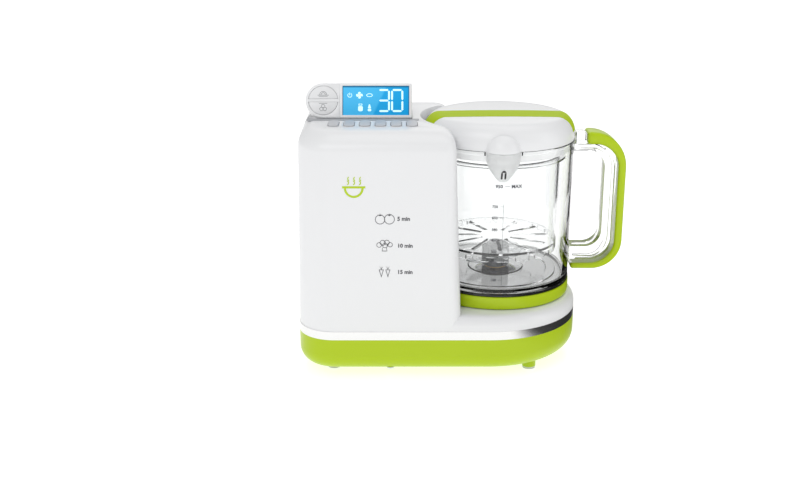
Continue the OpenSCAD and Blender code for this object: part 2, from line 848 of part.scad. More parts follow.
// The slab that the coloured band lies in.
module band_zone() {
    translate([jug_x - 80, band_front, rim_z + 8]) cube([160, band_back - band_front, 40]);
}

module lid_shell() color("white") {
    difference() {
        union() {
            difference() {
                lid_form(0, lid_z0);
                lid_form(wall, lid_z0 - 1);
            }
            on_jug(177) difference() {
                cylinder(r = rim_r - jug_wall - 1.4, h = lid_z0 - 177 + 16);
                translate([0, 0, -1]) cylinder(r = rim_r - jug_wall - 4, h = 40);
            }
        }
        difference() {
            band_zone();
            lid_form(1.2, lid_z0 - 1);
        }
        on_jug(port_z) rotate([0, 0, port_turn]) translate([40, 0, 0]) rotate([0, 90, 0])
            cylinder(r = port_r, h = 40);
    }
}

module lid_band() color("yellowgreen") {
    intersection() {
        difference() {
            lid_form(0, lid_z0);
            lid_form(1.15, lid_z0 - 1);
        }
        translate([jug_x - 80, band_front + 0.05, rim_z + 8.05])
            cube([160, band_back - band_front - 0.1, 40]);
    }
}

module spout_cover() color("white") {
    difference() {
        translate([spout_x, spout_y, lid_z0]) sphere(r = spout_r);
        translate([spout_x, spout_y, lid_z0]) sphere(r = spout_r - 2);
        translate([spout_x - 30, spout_y - 30, lid_z0 - 40]) cube([60, 60, 40]);
        on_jug(lid_z0 - 1) cylinder(r = lid_r + 0.05, h = 40);
    }
}

module lid_seal() color("whitesmoke") {
    on_jug(178) difference() {
        cylinder(r = rim_r - jug_wall - 0.7, h = 4);
        translate([0, 0, -1]) cylinder(r = rim_r - jug_wall - 1.35, h = 6);
    }
}

base_tray();
foot_pads();
chrome_trim();
base_deck();
tower_shell();
rear_panel();
pod_pocket();
pod_hinge_pins();
key_board();
control_board();
power_board();
water_tank();
boiler();
feed_hose();
steam_pipe();
steam_nozzle();
lid_switch();
cord_gland();
motor_can();
motor_magnets();
motor_bearings();
motor_bracket();
motor_isolators();
drive_seal();
base_screws();
rear_screws();
motor_shaft();
motor_rotor();
cooling_fan();
drive_coupling();
tank_cap();
tank_cap_seal();
soft_key(1);  // key_1
soft_key(2);  // key_2
soft_key(3);  // key_3
soft_key(4);  // key_4
soft_key(5);  // key_5
soft_key(6);  // key_6
pod_case();
pod_bezel();
lcd_panel();
pod_board();
half_button(1);  // upper_button
half_button(-1);  // lower_button
jug_body();
jug_collar();
jug_gasket();
handle_frame();
handle_grip();
shaft_bush();
blade_shaft();
blade_hub();
lower_blades();
upper_blades();
driven_coupling();
lid_shell();
lid_band();
spout_cover();
lid_seal();
steam_basket();
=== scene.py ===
"""Baby food maker: the looks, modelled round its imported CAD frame."""

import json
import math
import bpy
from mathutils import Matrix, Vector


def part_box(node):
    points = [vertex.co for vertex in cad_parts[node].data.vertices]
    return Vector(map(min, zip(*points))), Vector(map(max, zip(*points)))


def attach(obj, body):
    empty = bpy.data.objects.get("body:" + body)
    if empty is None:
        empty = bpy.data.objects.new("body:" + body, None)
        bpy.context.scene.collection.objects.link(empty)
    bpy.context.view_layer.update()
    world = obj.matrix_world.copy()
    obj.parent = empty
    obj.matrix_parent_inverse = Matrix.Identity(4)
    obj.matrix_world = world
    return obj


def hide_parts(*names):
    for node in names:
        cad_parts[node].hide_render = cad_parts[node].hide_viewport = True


bl_info = {
    "name": "Baby Food Maker",
    "version": (1, 0, 0),
    "blender": (4, 5, 0),
    "location": "View3D > Sidebar > Food Maker",
    "description": "Models the skins, clear parts, display and prints of a baby food maker on its frame",
    "category": "Object",
}

import bpy
from mathutils import Matrix, Vector

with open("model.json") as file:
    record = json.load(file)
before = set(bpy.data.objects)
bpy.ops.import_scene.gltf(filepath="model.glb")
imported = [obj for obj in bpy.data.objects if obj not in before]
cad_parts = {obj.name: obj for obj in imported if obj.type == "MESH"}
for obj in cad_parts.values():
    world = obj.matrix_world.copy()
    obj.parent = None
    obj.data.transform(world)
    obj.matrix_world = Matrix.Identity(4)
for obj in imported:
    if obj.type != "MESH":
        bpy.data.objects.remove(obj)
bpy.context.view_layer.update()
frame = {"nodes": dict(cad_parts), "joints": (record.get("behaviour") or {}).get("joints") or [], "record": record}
MM = 0.001
TAU = 2 * math.pi
INK = 0.12 * MM  # how far prints and lit signs stand out
SIGN = 0.06 * MM  # how far the buttons' signs stand out
FINE = 160  # sides of the jug's rounds
CAMERA_PLACE = (-0.0554, -0.9054, 0.3799)
CAMERA_TILT = math.radians(72.47)
CAMERA_LENS = 50.34
FLOOR_SIZE = 40

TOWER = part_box("tower_shell")
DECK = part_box("base_deck")
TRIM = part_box("chrome_trim")
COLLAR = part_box("jug_collar")
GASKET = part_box("jug_gasket")
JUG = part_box("jug_body")
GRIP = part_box("handle_grip")
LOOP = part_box("handle_frame")
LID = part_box("lid_shell")
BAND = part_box("lid_band")
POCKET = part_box("pod_pocket")
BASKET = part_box("steam_basket")
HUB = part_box("blade_hub")
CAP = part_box("tank_cap")
JUG_X = (COLLAR[0].x + COLLAR[1].x) / 2
KEYS = [name for name in frame["nodes"] if name.startswith("key_") and name != "key_board"]
JOINTS = {joint["name"]: joint for joint in frame["joints"]}
SLOTS = {part["node"]: part["material_slot"] for part in frame["record"]["subparts"]}

HINGE = Vector(JOINTS["display_tilt"]["pos_m"])
RAISED = -math.radians(JOINTS["display_tilt"]["range_deg"][0])


# ------------------------------------------------------------------ sizes and colours


def length(name, description, default):
    """A length that a user may change."""
    return bpy.props.FloatProperty(
        name=name, description=description, default=default, min=0.0, unit="LENGTH",
    )


def colour(name, description, default):
    """A colour that a user may change."""
    return bpy.props.FloatVectorProperty(
        name=name, description=description, default=default, size=3, min=0.0, max=1.0, subtype="COLOR"
    )


class HousingSizes(bpy.types.PropertyGroup):
    """Rolls and rounds of the white housing."""

    corner: length("Corner", "Radius of the tower's left corners", 30 * MM)
    rib: length("Rib", "Radius of the tower's corners beside the jug", 9 * MM)
    roll_height: length("Roll height", "Height of the tower's rolled top edge", 14 * MM)
    roll_side: length("Side roll", "Depth of the rolled edge at the tower's sides", 11.5 * MM)
    roll_front: length("Front roll", "Depth of the rolled edge at the tower's front and back", 22 * MM)
    lean_left: length("Left lean", "How far the left side leans in", 2 * MM)
    lean_right: length("Right lean", "How far the jug side leans in", 6 * MM)
    bay_radius: length("Bay radius", "Radius of the hollow that the jug stands in", 65.5 * MM)
    deck_roll: length("Deck roll", "Radius of the deck's rolled edge", 8 * MM)
    soft_edge: length("Soft edge", "Radius on the edges of openings", 1.1 * MM)
    skin_gap: length("Skin gap", "How far the skin lies inside the base's outline", 0.2 * MM)


class JugSizes(bpy.types.PropertyGroup):
    """Walls of the jug and lid."""

    wall: length("Wall", "Thickness of the jug's wall", 3 * MM)
    rim_step: length("Rim step", "Height of the jug's thicker rim", 10.4 * MM)
    foot_round: length("Foot round", "Radius where the wall meets the floor", 2.5 * MM)
    lid_side: length("Lid shoulder width", "Width of the lid's rounded shoulder", 13.5 * MM)
    lid_rise: length("Lid shoulder height", "Height of the lid's rounded shoulder", 15.5 * MM)
    lid_wall: length("Lid wall", "Thickness of the lid", 2.6 * MM)
    spout_radius: length("Spout radius", "Radius of the pouring spout", 14.5 * MM)
    grip_round: length("Grip round", "Radius on the grip's long edges", 2.6 * MM)


class Colours(bpy.types.PropertyGroup):
    """Colours of the finishes."""

    white: colour("White", "Glossy white mouldings", (0.83, 0.835, 0.845))
    green: colour("Green", "Glossy green mouldings", (0.46, 0.62, 0.002))
    grey_key: colour("Key grey", "Soft keys", (0.55, 0.56, 0.585))
    print_grey: colour("Print grey", "Printed icons and numbers", (0.07, 0.07, 0.08))
    lcd: colour("Display blue", "Backlight of the display", (0.004, 0.33, 0.70))
    # The lighter blue is a painted reflection on the display's window, not part of the backlight.
    lcd_reflection: colour("Display light", "Brighter part of the backlight", (0.06, 0.47, 0.82))
    digits: colour("Digit white", "Lit digits and icons", (0.62, 0.93, 1.0))


# ------------------------------------------------------------------ shader maths


class Sock:
    """A node's output that ordinary maths works on."""

    def __init__(self, tree, socket):
        self.tree = tree
        self.socket = socket

    def maths(self, operation, first, second=None):
        node = self.tree.nodes.new("ShaderNodeMath")
        node.operation = operation
        for slot, value in zip(node.inputs, (first, second)):
            if isinstance(value, Sock):
                self.tree.links.new(value.socket, slot)
            elif value is not None:
                slot.default_value = value
        return Sock(self.tree, node.outputs[0])

    def __add__(self, other):
        return self.maths("ADD", self, other)

    def __radd__(self, other):
        return self.maths("ADD", other, self)

    def __sub__(self, other):
        return self.maths("SUBTRACT", self, other)

    def __rsub__(self, other):
        return self.maths("SUBTRACT", other, self)

    def __mul__(self, other):
        return self.maths("MULTIPLY", self, other)

    def __rmul__(self, other):
        return self.maths("MULTIPLY", other, self)

    def __truediv__(self, other):
        return self.maths("DIVIDE", self, other)


class Finish:
    """A material, built on one Principled shader."""

    def __init__(self, name, base, roughness, **constants):
        self.material = bpy.data.materials.new(name)
        self.material.use_nodes = True
        self.tree = self.material.node_tree
        self.shader = self.tree.nodes["Principled BSDF"]
        self.shader.inputs["Base Color"].default_value = (*base, 1)
        self.shader.inputs["Roughness"].default_value = roughness
        for label, value in constants.items():
            self.shader.inputs[label.replace("_", " ")].default_value = value

    def node(self, kind, settings=None, output=0, **values):
        """Adds a node: its settings first, then the values or links of its sockets."""
        made = self.tree.nodes.new(kind)
        for key, value in (settings or {}).items():
            setattr(made, key, value)
        for label, value in values.items():
            numbered = label[0] == "i" and label[1:].isdigit()
            slot = made.inputs[int(label[1:]) if numbered else label]
            if isinstance(value, Sock):
                self.tree.links.new(value.socket, slot)
            else:
                slot.default_value = value
        return Sock(self.tree, made.outputs[output])

    def place(self):
        """Object coordinates."""
        return self.node("ShaderNodeTexCoord", output=3)

    def feed(self, label, sock):
        """Links a varying value into the shader."""
        self.tree.links.new(sock.socket, self.shader.inputs[label])

    def noise(self, scale, detail=3.0):
        """Fine noise, from 0 to 1."""
        return self.node("ShaderNodeTexNoise", Vector=self.place(), Scale=scale, Detail=detail)

    def moulded(self, roughness, spread=0.06, scale=260.0, depth=0.02):
        """The slight unevenness of a moulded surface, in its gloss and its relief."""
        grain = self.noise(scale)
        broad = self.noise(scale / 14, 2.0)
        self.feed("Roughness", roughness + spread * (broad - 0.5) + 0.3 * spread * (grain - 0.5))
        bump = self.node("ShaderNodeBump", Height=grain, Strength=depth, Distance=0.0002)
        self.feed("Normal", bump)
        return self


FINISHES = {}


def finish_named(name):
    """The material for a finish, made the first time it is asked for."""
    if name not in FINISHES:
        FINISHES[name] = MAKERS[name](bpy.context.scene.maker_colours)
    return FINISHES[name]


def white_gloss(c):
    made = Finish("white_gloss", c.white, 0.34, Coat_Weight=0.12, Coat_Roughness=0.12)
    return made.moulded(0.34, 0.05, 220.0, 0.015).material


def white_satin(c):
    return Finish("white_satin", [v * 0.97 for v in c.white], 0.42).moulded(
        0.42, 0.08, 900.0, 0.08,
    ).material


def green_gloss(c):
    made = Finish(
        "green_gloss", c.green, 0.3, Coat_Weight=0.15, Coat_Roughness=0.16, Specular_IOR_Level=0.3,
    )
    made.moulded(0.3, 0.05, 200.0, 0.012)
    tone = made.noise(9.0, 1.0)
    deep = (c.green[0] * 0.93, c.green[1] * 0.94, c.green[2], 1)
    base = made.node(
        "ShaderNodeMix", {"data_type": "RGBA"}, output=2, i0=tone, i6=(*c.green, 1), i7=deep,
    )
    made.feed("Base Color", base)
    return made.material


def green_soft(c):
    made = Finish("green_soft", [v * 0.92 for v in c.green], 0.55, Specular_IOR_Level=0.12)
    return made.moulded(0.55, 0.05, 200.0, 0.012).material


def chrome(c):
    made = Finish("chrome", (0.78, 0.78, 0.77), 0.13, Metallic=1.0)
    return made.moulded(0.13, 0.03, 400.0, 0.01).material


def brushed(name, tint, roughness):
    """Metal with fine turning marks along its height."""
    made = Finish(name, tint, roughness, Metallic=1.0)
    stretched = made.node("ShaderNodeMapping", Vector=made.place(), Scale=(60.0, 60.0, 3000.0))
    marks = made.node("ShaderNodeTexNoise", Vector=stretched, Scale=1.0, Detail=3.0)
    made.feed("Roughness", roughness + 0.18 * (marks - 0.5))
    made.feed("Normal", made.node("ShaderNodeBump", Height=marks, Strength=0.12, Distance=0.0002))
    return made.material


def clear_plastic(c):
    made = Finish(
        "clear_plastic", (0.985, 0.99, 0.99), 0.02, IOR=1.46, Transmission_Weight=1.0, Specular_IOR_Level=0.5
    )
    made.feed("Roughness", 0.015 + 0.02 * made.noise(30.0, 2.0))
    return made.material


def frosted(c):
    made = Finish("frosted", (0.95, 0.96, 0.96), 0.3, IOR=1.3, Transmission_Weight=0.55)
    made.feed("Roughness", 0.28 + 0.08 * made.noise(60.0, 2.0))
    return made.material


def lcd_glass(c):
    """The backlight: blue, with a painted reflection as a lighter slanting band and gradient, and a darker edge.
    """
    made = Finish("lcd_glass", c.lcd, 0.35, Specular_IOR_Level=0.2, Emission_Strength=0.22)
    split = made.node("ShaderNodeSeparateXYZ", Vector=made.place())
    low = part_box("lcd_panel")[0]
    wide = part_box("lcd_panel")[1] - low
    x = (split - low.x) / wide.x
    z = (Sock(made.tree, split.socket.node.outputs[2]) - low.z) / wide.z
    ends = x.maths("MINIMUM", x, 1 - x) * (wide.x / MM)
    edges = x.maths("MINIMUM", z * (wide.z / MM), (1 - z) * (0.5 * wide.z / MM))
    border = made.node("ShaderNodeMapRange", Value=x.maths("MINIMUM", ends, edges), i1=0.35, i2=0.85)
    # Painted reflection: a lighter slanting band and a gradient laid over the backlight's blue.
    slant = x - 0.42 - 0.22 * z
    reflection_band = made.node(
        "ShaderNodeMapRange", {"interpolation_type": "SMOOTHSTEP"}, Value=slant, i1=0.0, i2=0.05,
    )
    depth = made.node("ShaderNodeMapRange", Value=x * 0.6 + (1 - z) * 0.4, i1=0.0, i2=1.0)
    backlight_and_reflection = made.node(
        "ShaderNodeMix", {"data_type": "RGBA"}, output=2, i0=reflection_band * 0.75 + depth * 0.25,
        i6=(*c.lcd_reflection, 1), i7=(*c.lcd, 1),
    )
    deep = [v * 0.45 for v in c.lcd]
    backlight_and_reflection = made.node(
        "ShaderNodeMix", {"data_type": "RGBA"}, output=2, i0=border, i6=(*deep, 1), i7=backlight_and_reflection,
    )
    made.feed("Base Color", backlight_and_reflection)
    made.feed("Emission Color", backlight_and_reflection)
    return made.material


def lit(c):
    return Finish(
        "lit_digits", c.digits, 0.3, Emission_Color=(*c.digits, 1), Emission_Strength=0.45,
    ).material


def plain(name, tint, roughness, spread=0.08, scale=500.0, depth=0.05, **constants):
    """A maker of a simple moulded finish."""
    return lambda c: Finish(name, tint, roughness, **constants).moulded(
        roughness, spread, scale, depth,
    ).material


def board(c):
    made = Finish("circuit_board", (0.02, 0.14, 0.06), 0.35)
    tracks = made.node("ShaderNodeTexBrick", Vector=made.place(), Scale=180.0, output=1)
    made.feed("Roughness", 0.3 + 0.2 * tracks)
    return made.material


MAKERS = {
    "white_gloss": white_gloss,
    "white_satin": white_satin,
    "green_gloss": green_gloss,
    "chrome": chrome,
    "green_soft": green_soft,
    # Grey jug floor with a glow: painted light that lifts it out of the shade under the clear wall.
    "floor_grey_glow": plain(
        "floor_grey_glow", (0.72, 0.73, 0.73), 0.45, Emission_Color=(1, 1, 1, 1), Emission_Strength=0.3,
    ),
    # Translucent white with a glow: painted light that lifts the lid's skirt and seal out of the lid's shade.
    "rim_white_glow": plain(
        "rim_white_glow", (0.86, 0.87, 0.87), 0.4, Emission_Color=(1, 1, 1, 1), Emission_Strength=0.36,
    ),
    "steel": lambda c: brushed("steel", (0.62, 0.63, 0.64), 0.24),
    "bronze": lambda c: brushed("bronze", (0.55, 0.36, 0.15), 0.35),
    "cast_alloy": lambda c: brushed("cast_alloy", (0.55, 0.56, 0.57), 0.5),
    "rotor_copper": lambda c: brushed("rotor_copper", (0.6, 0.3, 0.14), 0.4),
    "clear_plastic": clear_plastic,
    "frosted": frosted,
    "lcd_blue": lcd_glass,
    "lit": lit,
    "key_grey": lambda c: plain("key_grey", c.grey_key, 0.45)(c),
    "grey_satin": plain("grey_satin", (0.36, 0.37, 0.39), 0.45),
    "hub_grey": plain("hub_grey", (0.10, 0.11, 0.12), 0.38),
    "black_plastic": plain("black_plastic", (0.015, 0.015, 0.016), 0.4),
    "black_gloss": plain("black_gloss", (0.012, 0.012, 0.012), 0.16, 0.04),
    "pale_rubber": plain("pale_rubber", (0.62, 0.64, 0.60), 0.65, 0.1, 1500.0, 0.2),
    "dark_rubber": plain("dark_rubber", (0.03, 0.03, 0.03), 0.7, 0.1, 1500.0, 0.2),
    "silicone": plain("silicone", (0.7, 0.7, 0.69), 0.5, 0.1, 900.0, 0.1),
    "milky": plain("milky", (0.72, 0.76, 0.78), 0.4, 0.1, 400.0, 0.05),
    "board": board,
    "print_green": lambda c: plain("print_green", c.green, 0.3)(c),
    "print_grey": lambda c: plain("print_grey", c.print_grey, 0.4)(c),
    "line_grey": plain("line_grey", (0.22, 0.23, 0.24), 0.4),
}


# ------------------------------------------------------------------ modelling helpers


def alone(obj=None):
    """Deselects everything, then selects and activates one object."""
    if bpy.context.object and bpy.context.object.mode != "OBJECT":
        bpy.ops.object.mode_set(mode="OBJECT")
    bpy.ops.object.select_all(action="DESELECT")
    if obj:
        obj.select_set(True)
        bpy.context.view_layer.objects.active = obj


def trace(name, points):
    """A chain of vertices, pulled out of one vertex from point to point."""
    alone()
    bpy.ops.mesh.primitive_plane_add(size=MM, location=points[0])
    obj = bpy.context.object
    obj.name = name
    bpy.ops.object.transform_apply(location=True, rotation=True, scale=True)
    bpy.ops.object.mode_set(mode="EDIT")
    bpy.ops.mesh.select_mode(type="VERT")
    bpy.ops.mesh.select_all(action="SELECT")
    bpy.ops.mesh.merge(type="CENTER")
    for before, after in zip(points, points[1:]):
        step = Vector(after) - Vector(before)
        bpy.ops.mesh.extrude_region_move(TRANSFORM_OT_translate={"value": step})
    return obj


def lathe(name, profile, steps=96, centre=(JUG_X, 0.0)):
    """Closes a profile of (radius, height) points and spins it round an upright axis."""
    obj = trace(name, [(centre[0] + r, centre[1], z) for r, z in profile])
    bpy.ops.mesh.select_all(action="DESELECT")
    bpy.ops.object.mode_set(mode="OBJECT")
    for vertex in (obj.data.vertices[0], obj.data.vertices[-1]):
        vertex.select = True
    bpy.ops.object.mode_set(mode="EDIT")
    bpy.ops.mesh.edge_face_add()
    bpy.ops.mesh.select_all(action="SELECT")
    bpy.ops.mesh.spin(steps=steps, angle=TAU, center=(*centre, 0), axis=(0, 0, 1))
    return mended(obj)


def mended(obj):
    """Merges doubles and turns the faces outwards."""
    alone(obj)
    bpy.ops.object.mode_set(mode="EDIT")
    bpy.ops.mesh.select_all(action="SELECT")
    bpy.ops.mesh.remove_doubles(threshold=1e-6)
    bpy.ops.mesh.normals_make_consistent(inside=False)
    bpy.ops.object.mode_set(mode="OBJECT")
    return obj


def slab(name, outline, direction):
    """Fills a closed outline and extrudes it along a direction."""
    obj = trace(name, outline)
    bpy.ops.mesh.select_all(action="SELECT")
    bpy.ops.mesh.edge_face_add()
    bpy.ops.mesh.extrude_region_move(TRANSFORM_OT_translate={"value": direction})
    return mended(obj)


def plate(name, outline, z, rise):
    """A flat piece standing up from one height, from an outline on the XY plane."""
    return slab(name, [(x, y, z) for x, y in outline], (0, 0, rise))


def around(x, y, offsets):
    """Points given in millimetres from a middle."""
    return [(x + dx * MM, y + dy * MM) for dx, dy in offsets]


def ring_stack(name, outline, rings, centre):
    """Fills an outline, then pulls it up through rings of (rise, x scale, y scale, x shift)."""
    obj = trace(name, outline)
    bpy.ops.mesh.select_all(action="SELECT")
    bpy.ops.mesh.edge_face_add()
    for rise, wide, deep, shift in rings:
        bpy.ops.mesh.extrude_region_move(TRANSFORM_OT_translate={"value": (shift, 0, rise)})
        bpy.ops.transform.resize(value=(wide, deep, 1), center_override=centre)
    return mended(obj)


def modify(obj, kind, **settings):
    """Adds a modifier with its settings and applies it."""
    alone(obj)
    made = obj.modifiers.new(kind.title(), kind)
    for key, value in settings.items():
        setattr(made, key, value)
    bpy.ops.object.modifier_apply(modifier=made.name)
    return obj


def soften(obj, width, segments=3, angle=35):
    """Rounds the sharp edges."""
    return modify(
        obj, "BEVEL", width=width, segments=segments, limit_method="ANGLE",
        angle_limit=math.radians(angle), harden_normals=False,
    )


def combine(obj, tool, operation="DIFFERENCE"):
    """Cuts, joins or keeps what is common, and removes the tool."""
    modify(obj, "BOOLEAN", object=tool, operation=operation, solver="EXACT")
    bpy.data.objects.remove(tool, do_unlink=True)
    return obj


def block(name, low, high, edge=0.0, segments=3):
    """A box between two corners, with rounded edges."""
    alone()
    middle = (Vector(low) + Vector(high)) / 2
    size = Vector(high) - Vector(low)
    bpy.ops.mesh.primitive_cube_add(size=1, location=middle, scale=size)
    obj = bpy.context.object
    obj.name = name
    bpy.ops.object.transform_apply(location=True, rotation=True, scale=True)
    if edge:
        soften(obj, edge, segments)
    return obj


def rod(name, start, end, radius, sides=48):
    """A straight round bar."""
    alone()
    along = Vector(end) - Vector(start)
    bpy.ops.mesh.primitive_cylinder_add(vertices=sides, radius=radius, depth=along.length)
    obj = bpy.context.object
    obj.name = name
    turn = along.to_track_quat("Z", "Y").to_matrix().to_4x4()
    obj.matrix_world = Matrix.Translation((Vector(start) + Vector(end)) / 2) @ turn
    bpy.ops.object.transform_apply(location=True, rotation=True, scale=True)
    return obj


def joined(name, parts):
    """Several meshes as one object."""
    alone()
    for part in parts:
        part.select_set(True)
    bpy.context.view_layer.objects.active = parts[0]
    bpy.ops.object.join()
    parts[0].name = name
    return parts[0]


def arc(centre, radius, start, end, count):
    """Points round part of a circle, in two dimensions; angles in degrees."""
    for step in range(count + 1):
        angle = math.radians(start + (end - start) * step / count)
        yield (centre[0] + radius * math.cos(angle), centre[1] + radius * math.sin(angle))


def rounded(x0, x1, y0, y1, radii, count=8):
    """A rectangle's outline with round corners: radii from the lower left, anticlockwise."""
    corners = [(x0, y0, 1, 1, 180), (x1, y0, -1, 1, 270), (x1, y1, -1, -1, 0), (x0, y1, 1, -1, 90)]
    points = []
    for (x, y, sx, sy, start), radius in zip(corners, radii):
        if radius:
            centre = (x + sx * radius, y + sy * radius)
            points += arc(centre, radius, start, start + 90, count)
        else:
            points.append((x, y))
    return points


def swung(obj):
    """Turns a part of the display from lying flat to its raised place."""
    turn = Matrix.Rotation(RAISED, 4, "X")
    obj.matrix_world = Matrix.Translation(HINGE) @ turn @ Matrix.Translation(-HINGE) @ obj.matrix_world
    alone(obj)
    bpy.ops.object.transform_apply(location=True, rotation=True, scale=True)
    return obj


def done(obj, finish, body, replaces=(), smooth=32):
    """Shades a piece, gives it its finish, hangs it on its body and hides the frame's parts that it stands for."""
    alone(obj)
    bpy.ops.object.transform_apply(location=True, rotation=True, scale=True)
    bpy.ops.object.shade_smooth_by_angle(angle=math.radians(smooth))
    obj.data.materials.clear()
    obj.data.materials.append(finish_named(finish))
    obj.data.name = obj.name
    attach(obj, body)
    if replaces:
        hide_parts(*replaces)
    return obj


class Piece:
    """What every operator here shares."""

    bl_options = {"REGISTER", "UNDO"}

    def execute(self, context):
        self.make(context.scene)
        alone()
        return {"FINISHED"}


# ------------------------------------------------------------------ housing


def deck_outline(z, gap, start):
    """The round-ended platform's outline from a start line to the jug end."""
    half = DECK[1].y - gap
    end_x = DECK[1].x - DECK[1].y
    points = [(start, -half)]
    points += arc((end_x, 0), half, -90, 90, 64)
    points.append((start, half))
    return [(x, y, z) for x, y in points]


class MAKER_OT_housing(Piece, bpy.types.Operator):
    """White housing: tower, jug bay and deck in one skin"""

    bl_idname = "maker.housing"
    bl_label = "Housing"

    def make(self, scene):
        s = scene.maker_housing
        low, high, floor = TOWER[0], TOWER[1], TRIM[1].z
        gap = s.skin_gap
        outline = rounded(
            low.x + gap, high.x, low.y + gap, high.y - gap, [s.corner, s.rib, s.rib, s.corner], 12
        )
        middle = Vector(((low.x + high.x) / 2, 0, 0))
        wide, deep = high.x - low.x, high.y - low.y
        lean = (s.lean_left - s.lean_right) / 2
        top_wide = wide - s.lean_left - s.lean_right
        tall = high.z - s.roll_height - floor
        rings = [(tall, top_wide / wide, 1.0, lean)]
        now_wide, now_deep, count = top_wide, deep, 10
        for step in range(1, count + 1):
            turn = math.radians(90 * step / count)
            before = math.radians(90 * (step - 1) / count)
            new_wide = top_wide - 2 * s.roll_side * (1 - math.cos(turn))
            new_deep = deep - 2 * s.roll_front * (1 - math.cos(turn))
            rise = s.roll_height * (math.sin(turn) - math.sin(before))
            rings.append((rise, new_wide / now_wide, new_deep / now_deep, 0))
            now_wide, now_deep = new_wide, new_deep
        obj = self.stack(outline, floor, rings, middle, lean)
        bay = rod("bay", (JUG_X, 0, DECK[1].z), (JUG_X, 0, high.z + MM * 20), s.bay_radius, FINE)
        combine(obj, bay)
        self.cut_top(obj, s)
        soften(obj, s.soft_edge, 3, 38)
        start = high.x - s.rib
        deck = ring_stack(
            "deck", deck_outline(floor, gap, start), self.deck_rings(s, start), (start, 0, 0),
        )
        shaft_hole = rod("cut", (JUG_X, 0, floor - MM), (JUG_X, 0, DECK[1].z + 2 * MM), 3.6 * MM, 48)
        combine(deck, shaft_hole)
        boss = lathe(
            "seat", [(10.4 * MM, DECK[1].z - MM), (10.4 * MM, DECK[1].z + 0.3 * MM), (
                13 * MM, DECK[1].z + 0.3 * MM,
            ),
                     (13.4 * MM, DECK[1].z - MM)], 64
        )
        obj = joined("housing_skin", [obj, deck, boss])
        done(obj, "white_gloss", "housing", ("tower_shell", "base_deck"))

    def stack(self, outline, floor, rings, middle, lean):
        """The tower's body, straight and then rolled over at the top."""
        points = [(x, y, floor) for x, y in outline]
        first, rest = rings[0], rings[1:]
        obj = trace("housing_skin", points)
        bpy.ops.mesh.select_all(action="SELECT")
        bpy.ops.mesh.edge_face_add()
        bpy.ops.mesh.extrude_region_move(TRANSFORM_OT_translate={"value": (lean, 0, first[0])})
        upper = middle + Vector((lean, 0, 0))
        bpy.ops.transform.resize(value=(first[1], first[2], 1), center_override=upper)
        for rise, wide, deep, shift in rest:
            bpy.ops.mesh.extrude_region_move(TRANSFORM_OT_translate={"value": (0, 0, rise)})
            bpy.ops.transform.resize(value=(wide, deep, 1), center_override=upper)
        return mended(obj)

    def deck_rings(self, s, start):
        """The deck's height and its rolled edge; its straight start stays against the tower."""
        tall = DECK[1].z - TRIM[1].z - s.deck_roll
        rings = [(tall, 1.0, 1.0, 0)]
        now, long, count = DECK[1].y, DECK[1].x - start, 7
        now_long = long
        for step in range(1, count + 1):
            turn = math.radians(90 * step / count)
            before = math.radians(90 * (step - 1) / count)
            new = DECK[1].y - s.deck_roll * (1 - math.cos(turn))
            rise = s.deck_roll * (math.sin(turn) - math.sin(before))
            new_long = long - s.deck_roll * (1 - math.cos(turn))
            rings.append((rise, new_long / now_long, new / now, 0))
            now, now_long = new, new_long
        return rings

    def cut_top(self, obj, s):
        """The openings for the display, the keys, the filler cap and the steam outlet."""
        top = TOWER[1].z
        low, high = POCKET
        middle, half, round_x = (low.y + high.y) / 2, (high.y - low.y) / 2, low.x + 16 * MM
        well = rounded(round_x, high.x, low.y, high.y, [0, 1.4 * MM, 1.4 * MM, 0], 5)
        well += [
            (round_x + 16 * MM * c, middle + half * n)
            for c, n in list(arc((0, 0), 1, 90, 270, 24))[1:-1]
        ]
        combine(obj, plate("cut", well, low.z, top + 9 * MM - low.z))
        for name in KEYS:
            a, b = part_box(name)
            x, y = (a.x + b.x) / 2, (a.y + b.y) / 2
            half_x, half_y = 4.6 * MM, 11.4 * MM
            outline = rounded(x - half_x, x + half_x, y - half_y, y + half_y, [half_x] * 4, 8)
            combine(obj, plate("cut", outline, top - 5 * MM, 9 * MM))
        x, y = (CAP[0].x + CAP[1].x) / 2, (CAP[0].y + CAP[1].y) / 2
        combine(obj, rod("cut", (x, y, top - 8 * MM), (x, y, top + 5 * MM), 13.5 * MM, 64))
        low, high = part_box("steam_nozzle")
        middle = (low + high) / 2
        away = (middle - Vector((JUG_X, 0, middle.z))).normalized()
        combine(obj, rod("cut", middle - away * 15 * MM, middle + away * 7 * MM, 5.2 * MM, 32))
        low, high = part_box("rear_panel")
        gap = Vector((0.2, 0, 0.2)) * MM
        combine(
            obj,
            block("cut", Vector((low.x, low.y - MM, low.z)) - gap, high + gap + Vector((0, 5 * MM, 0))),
        )


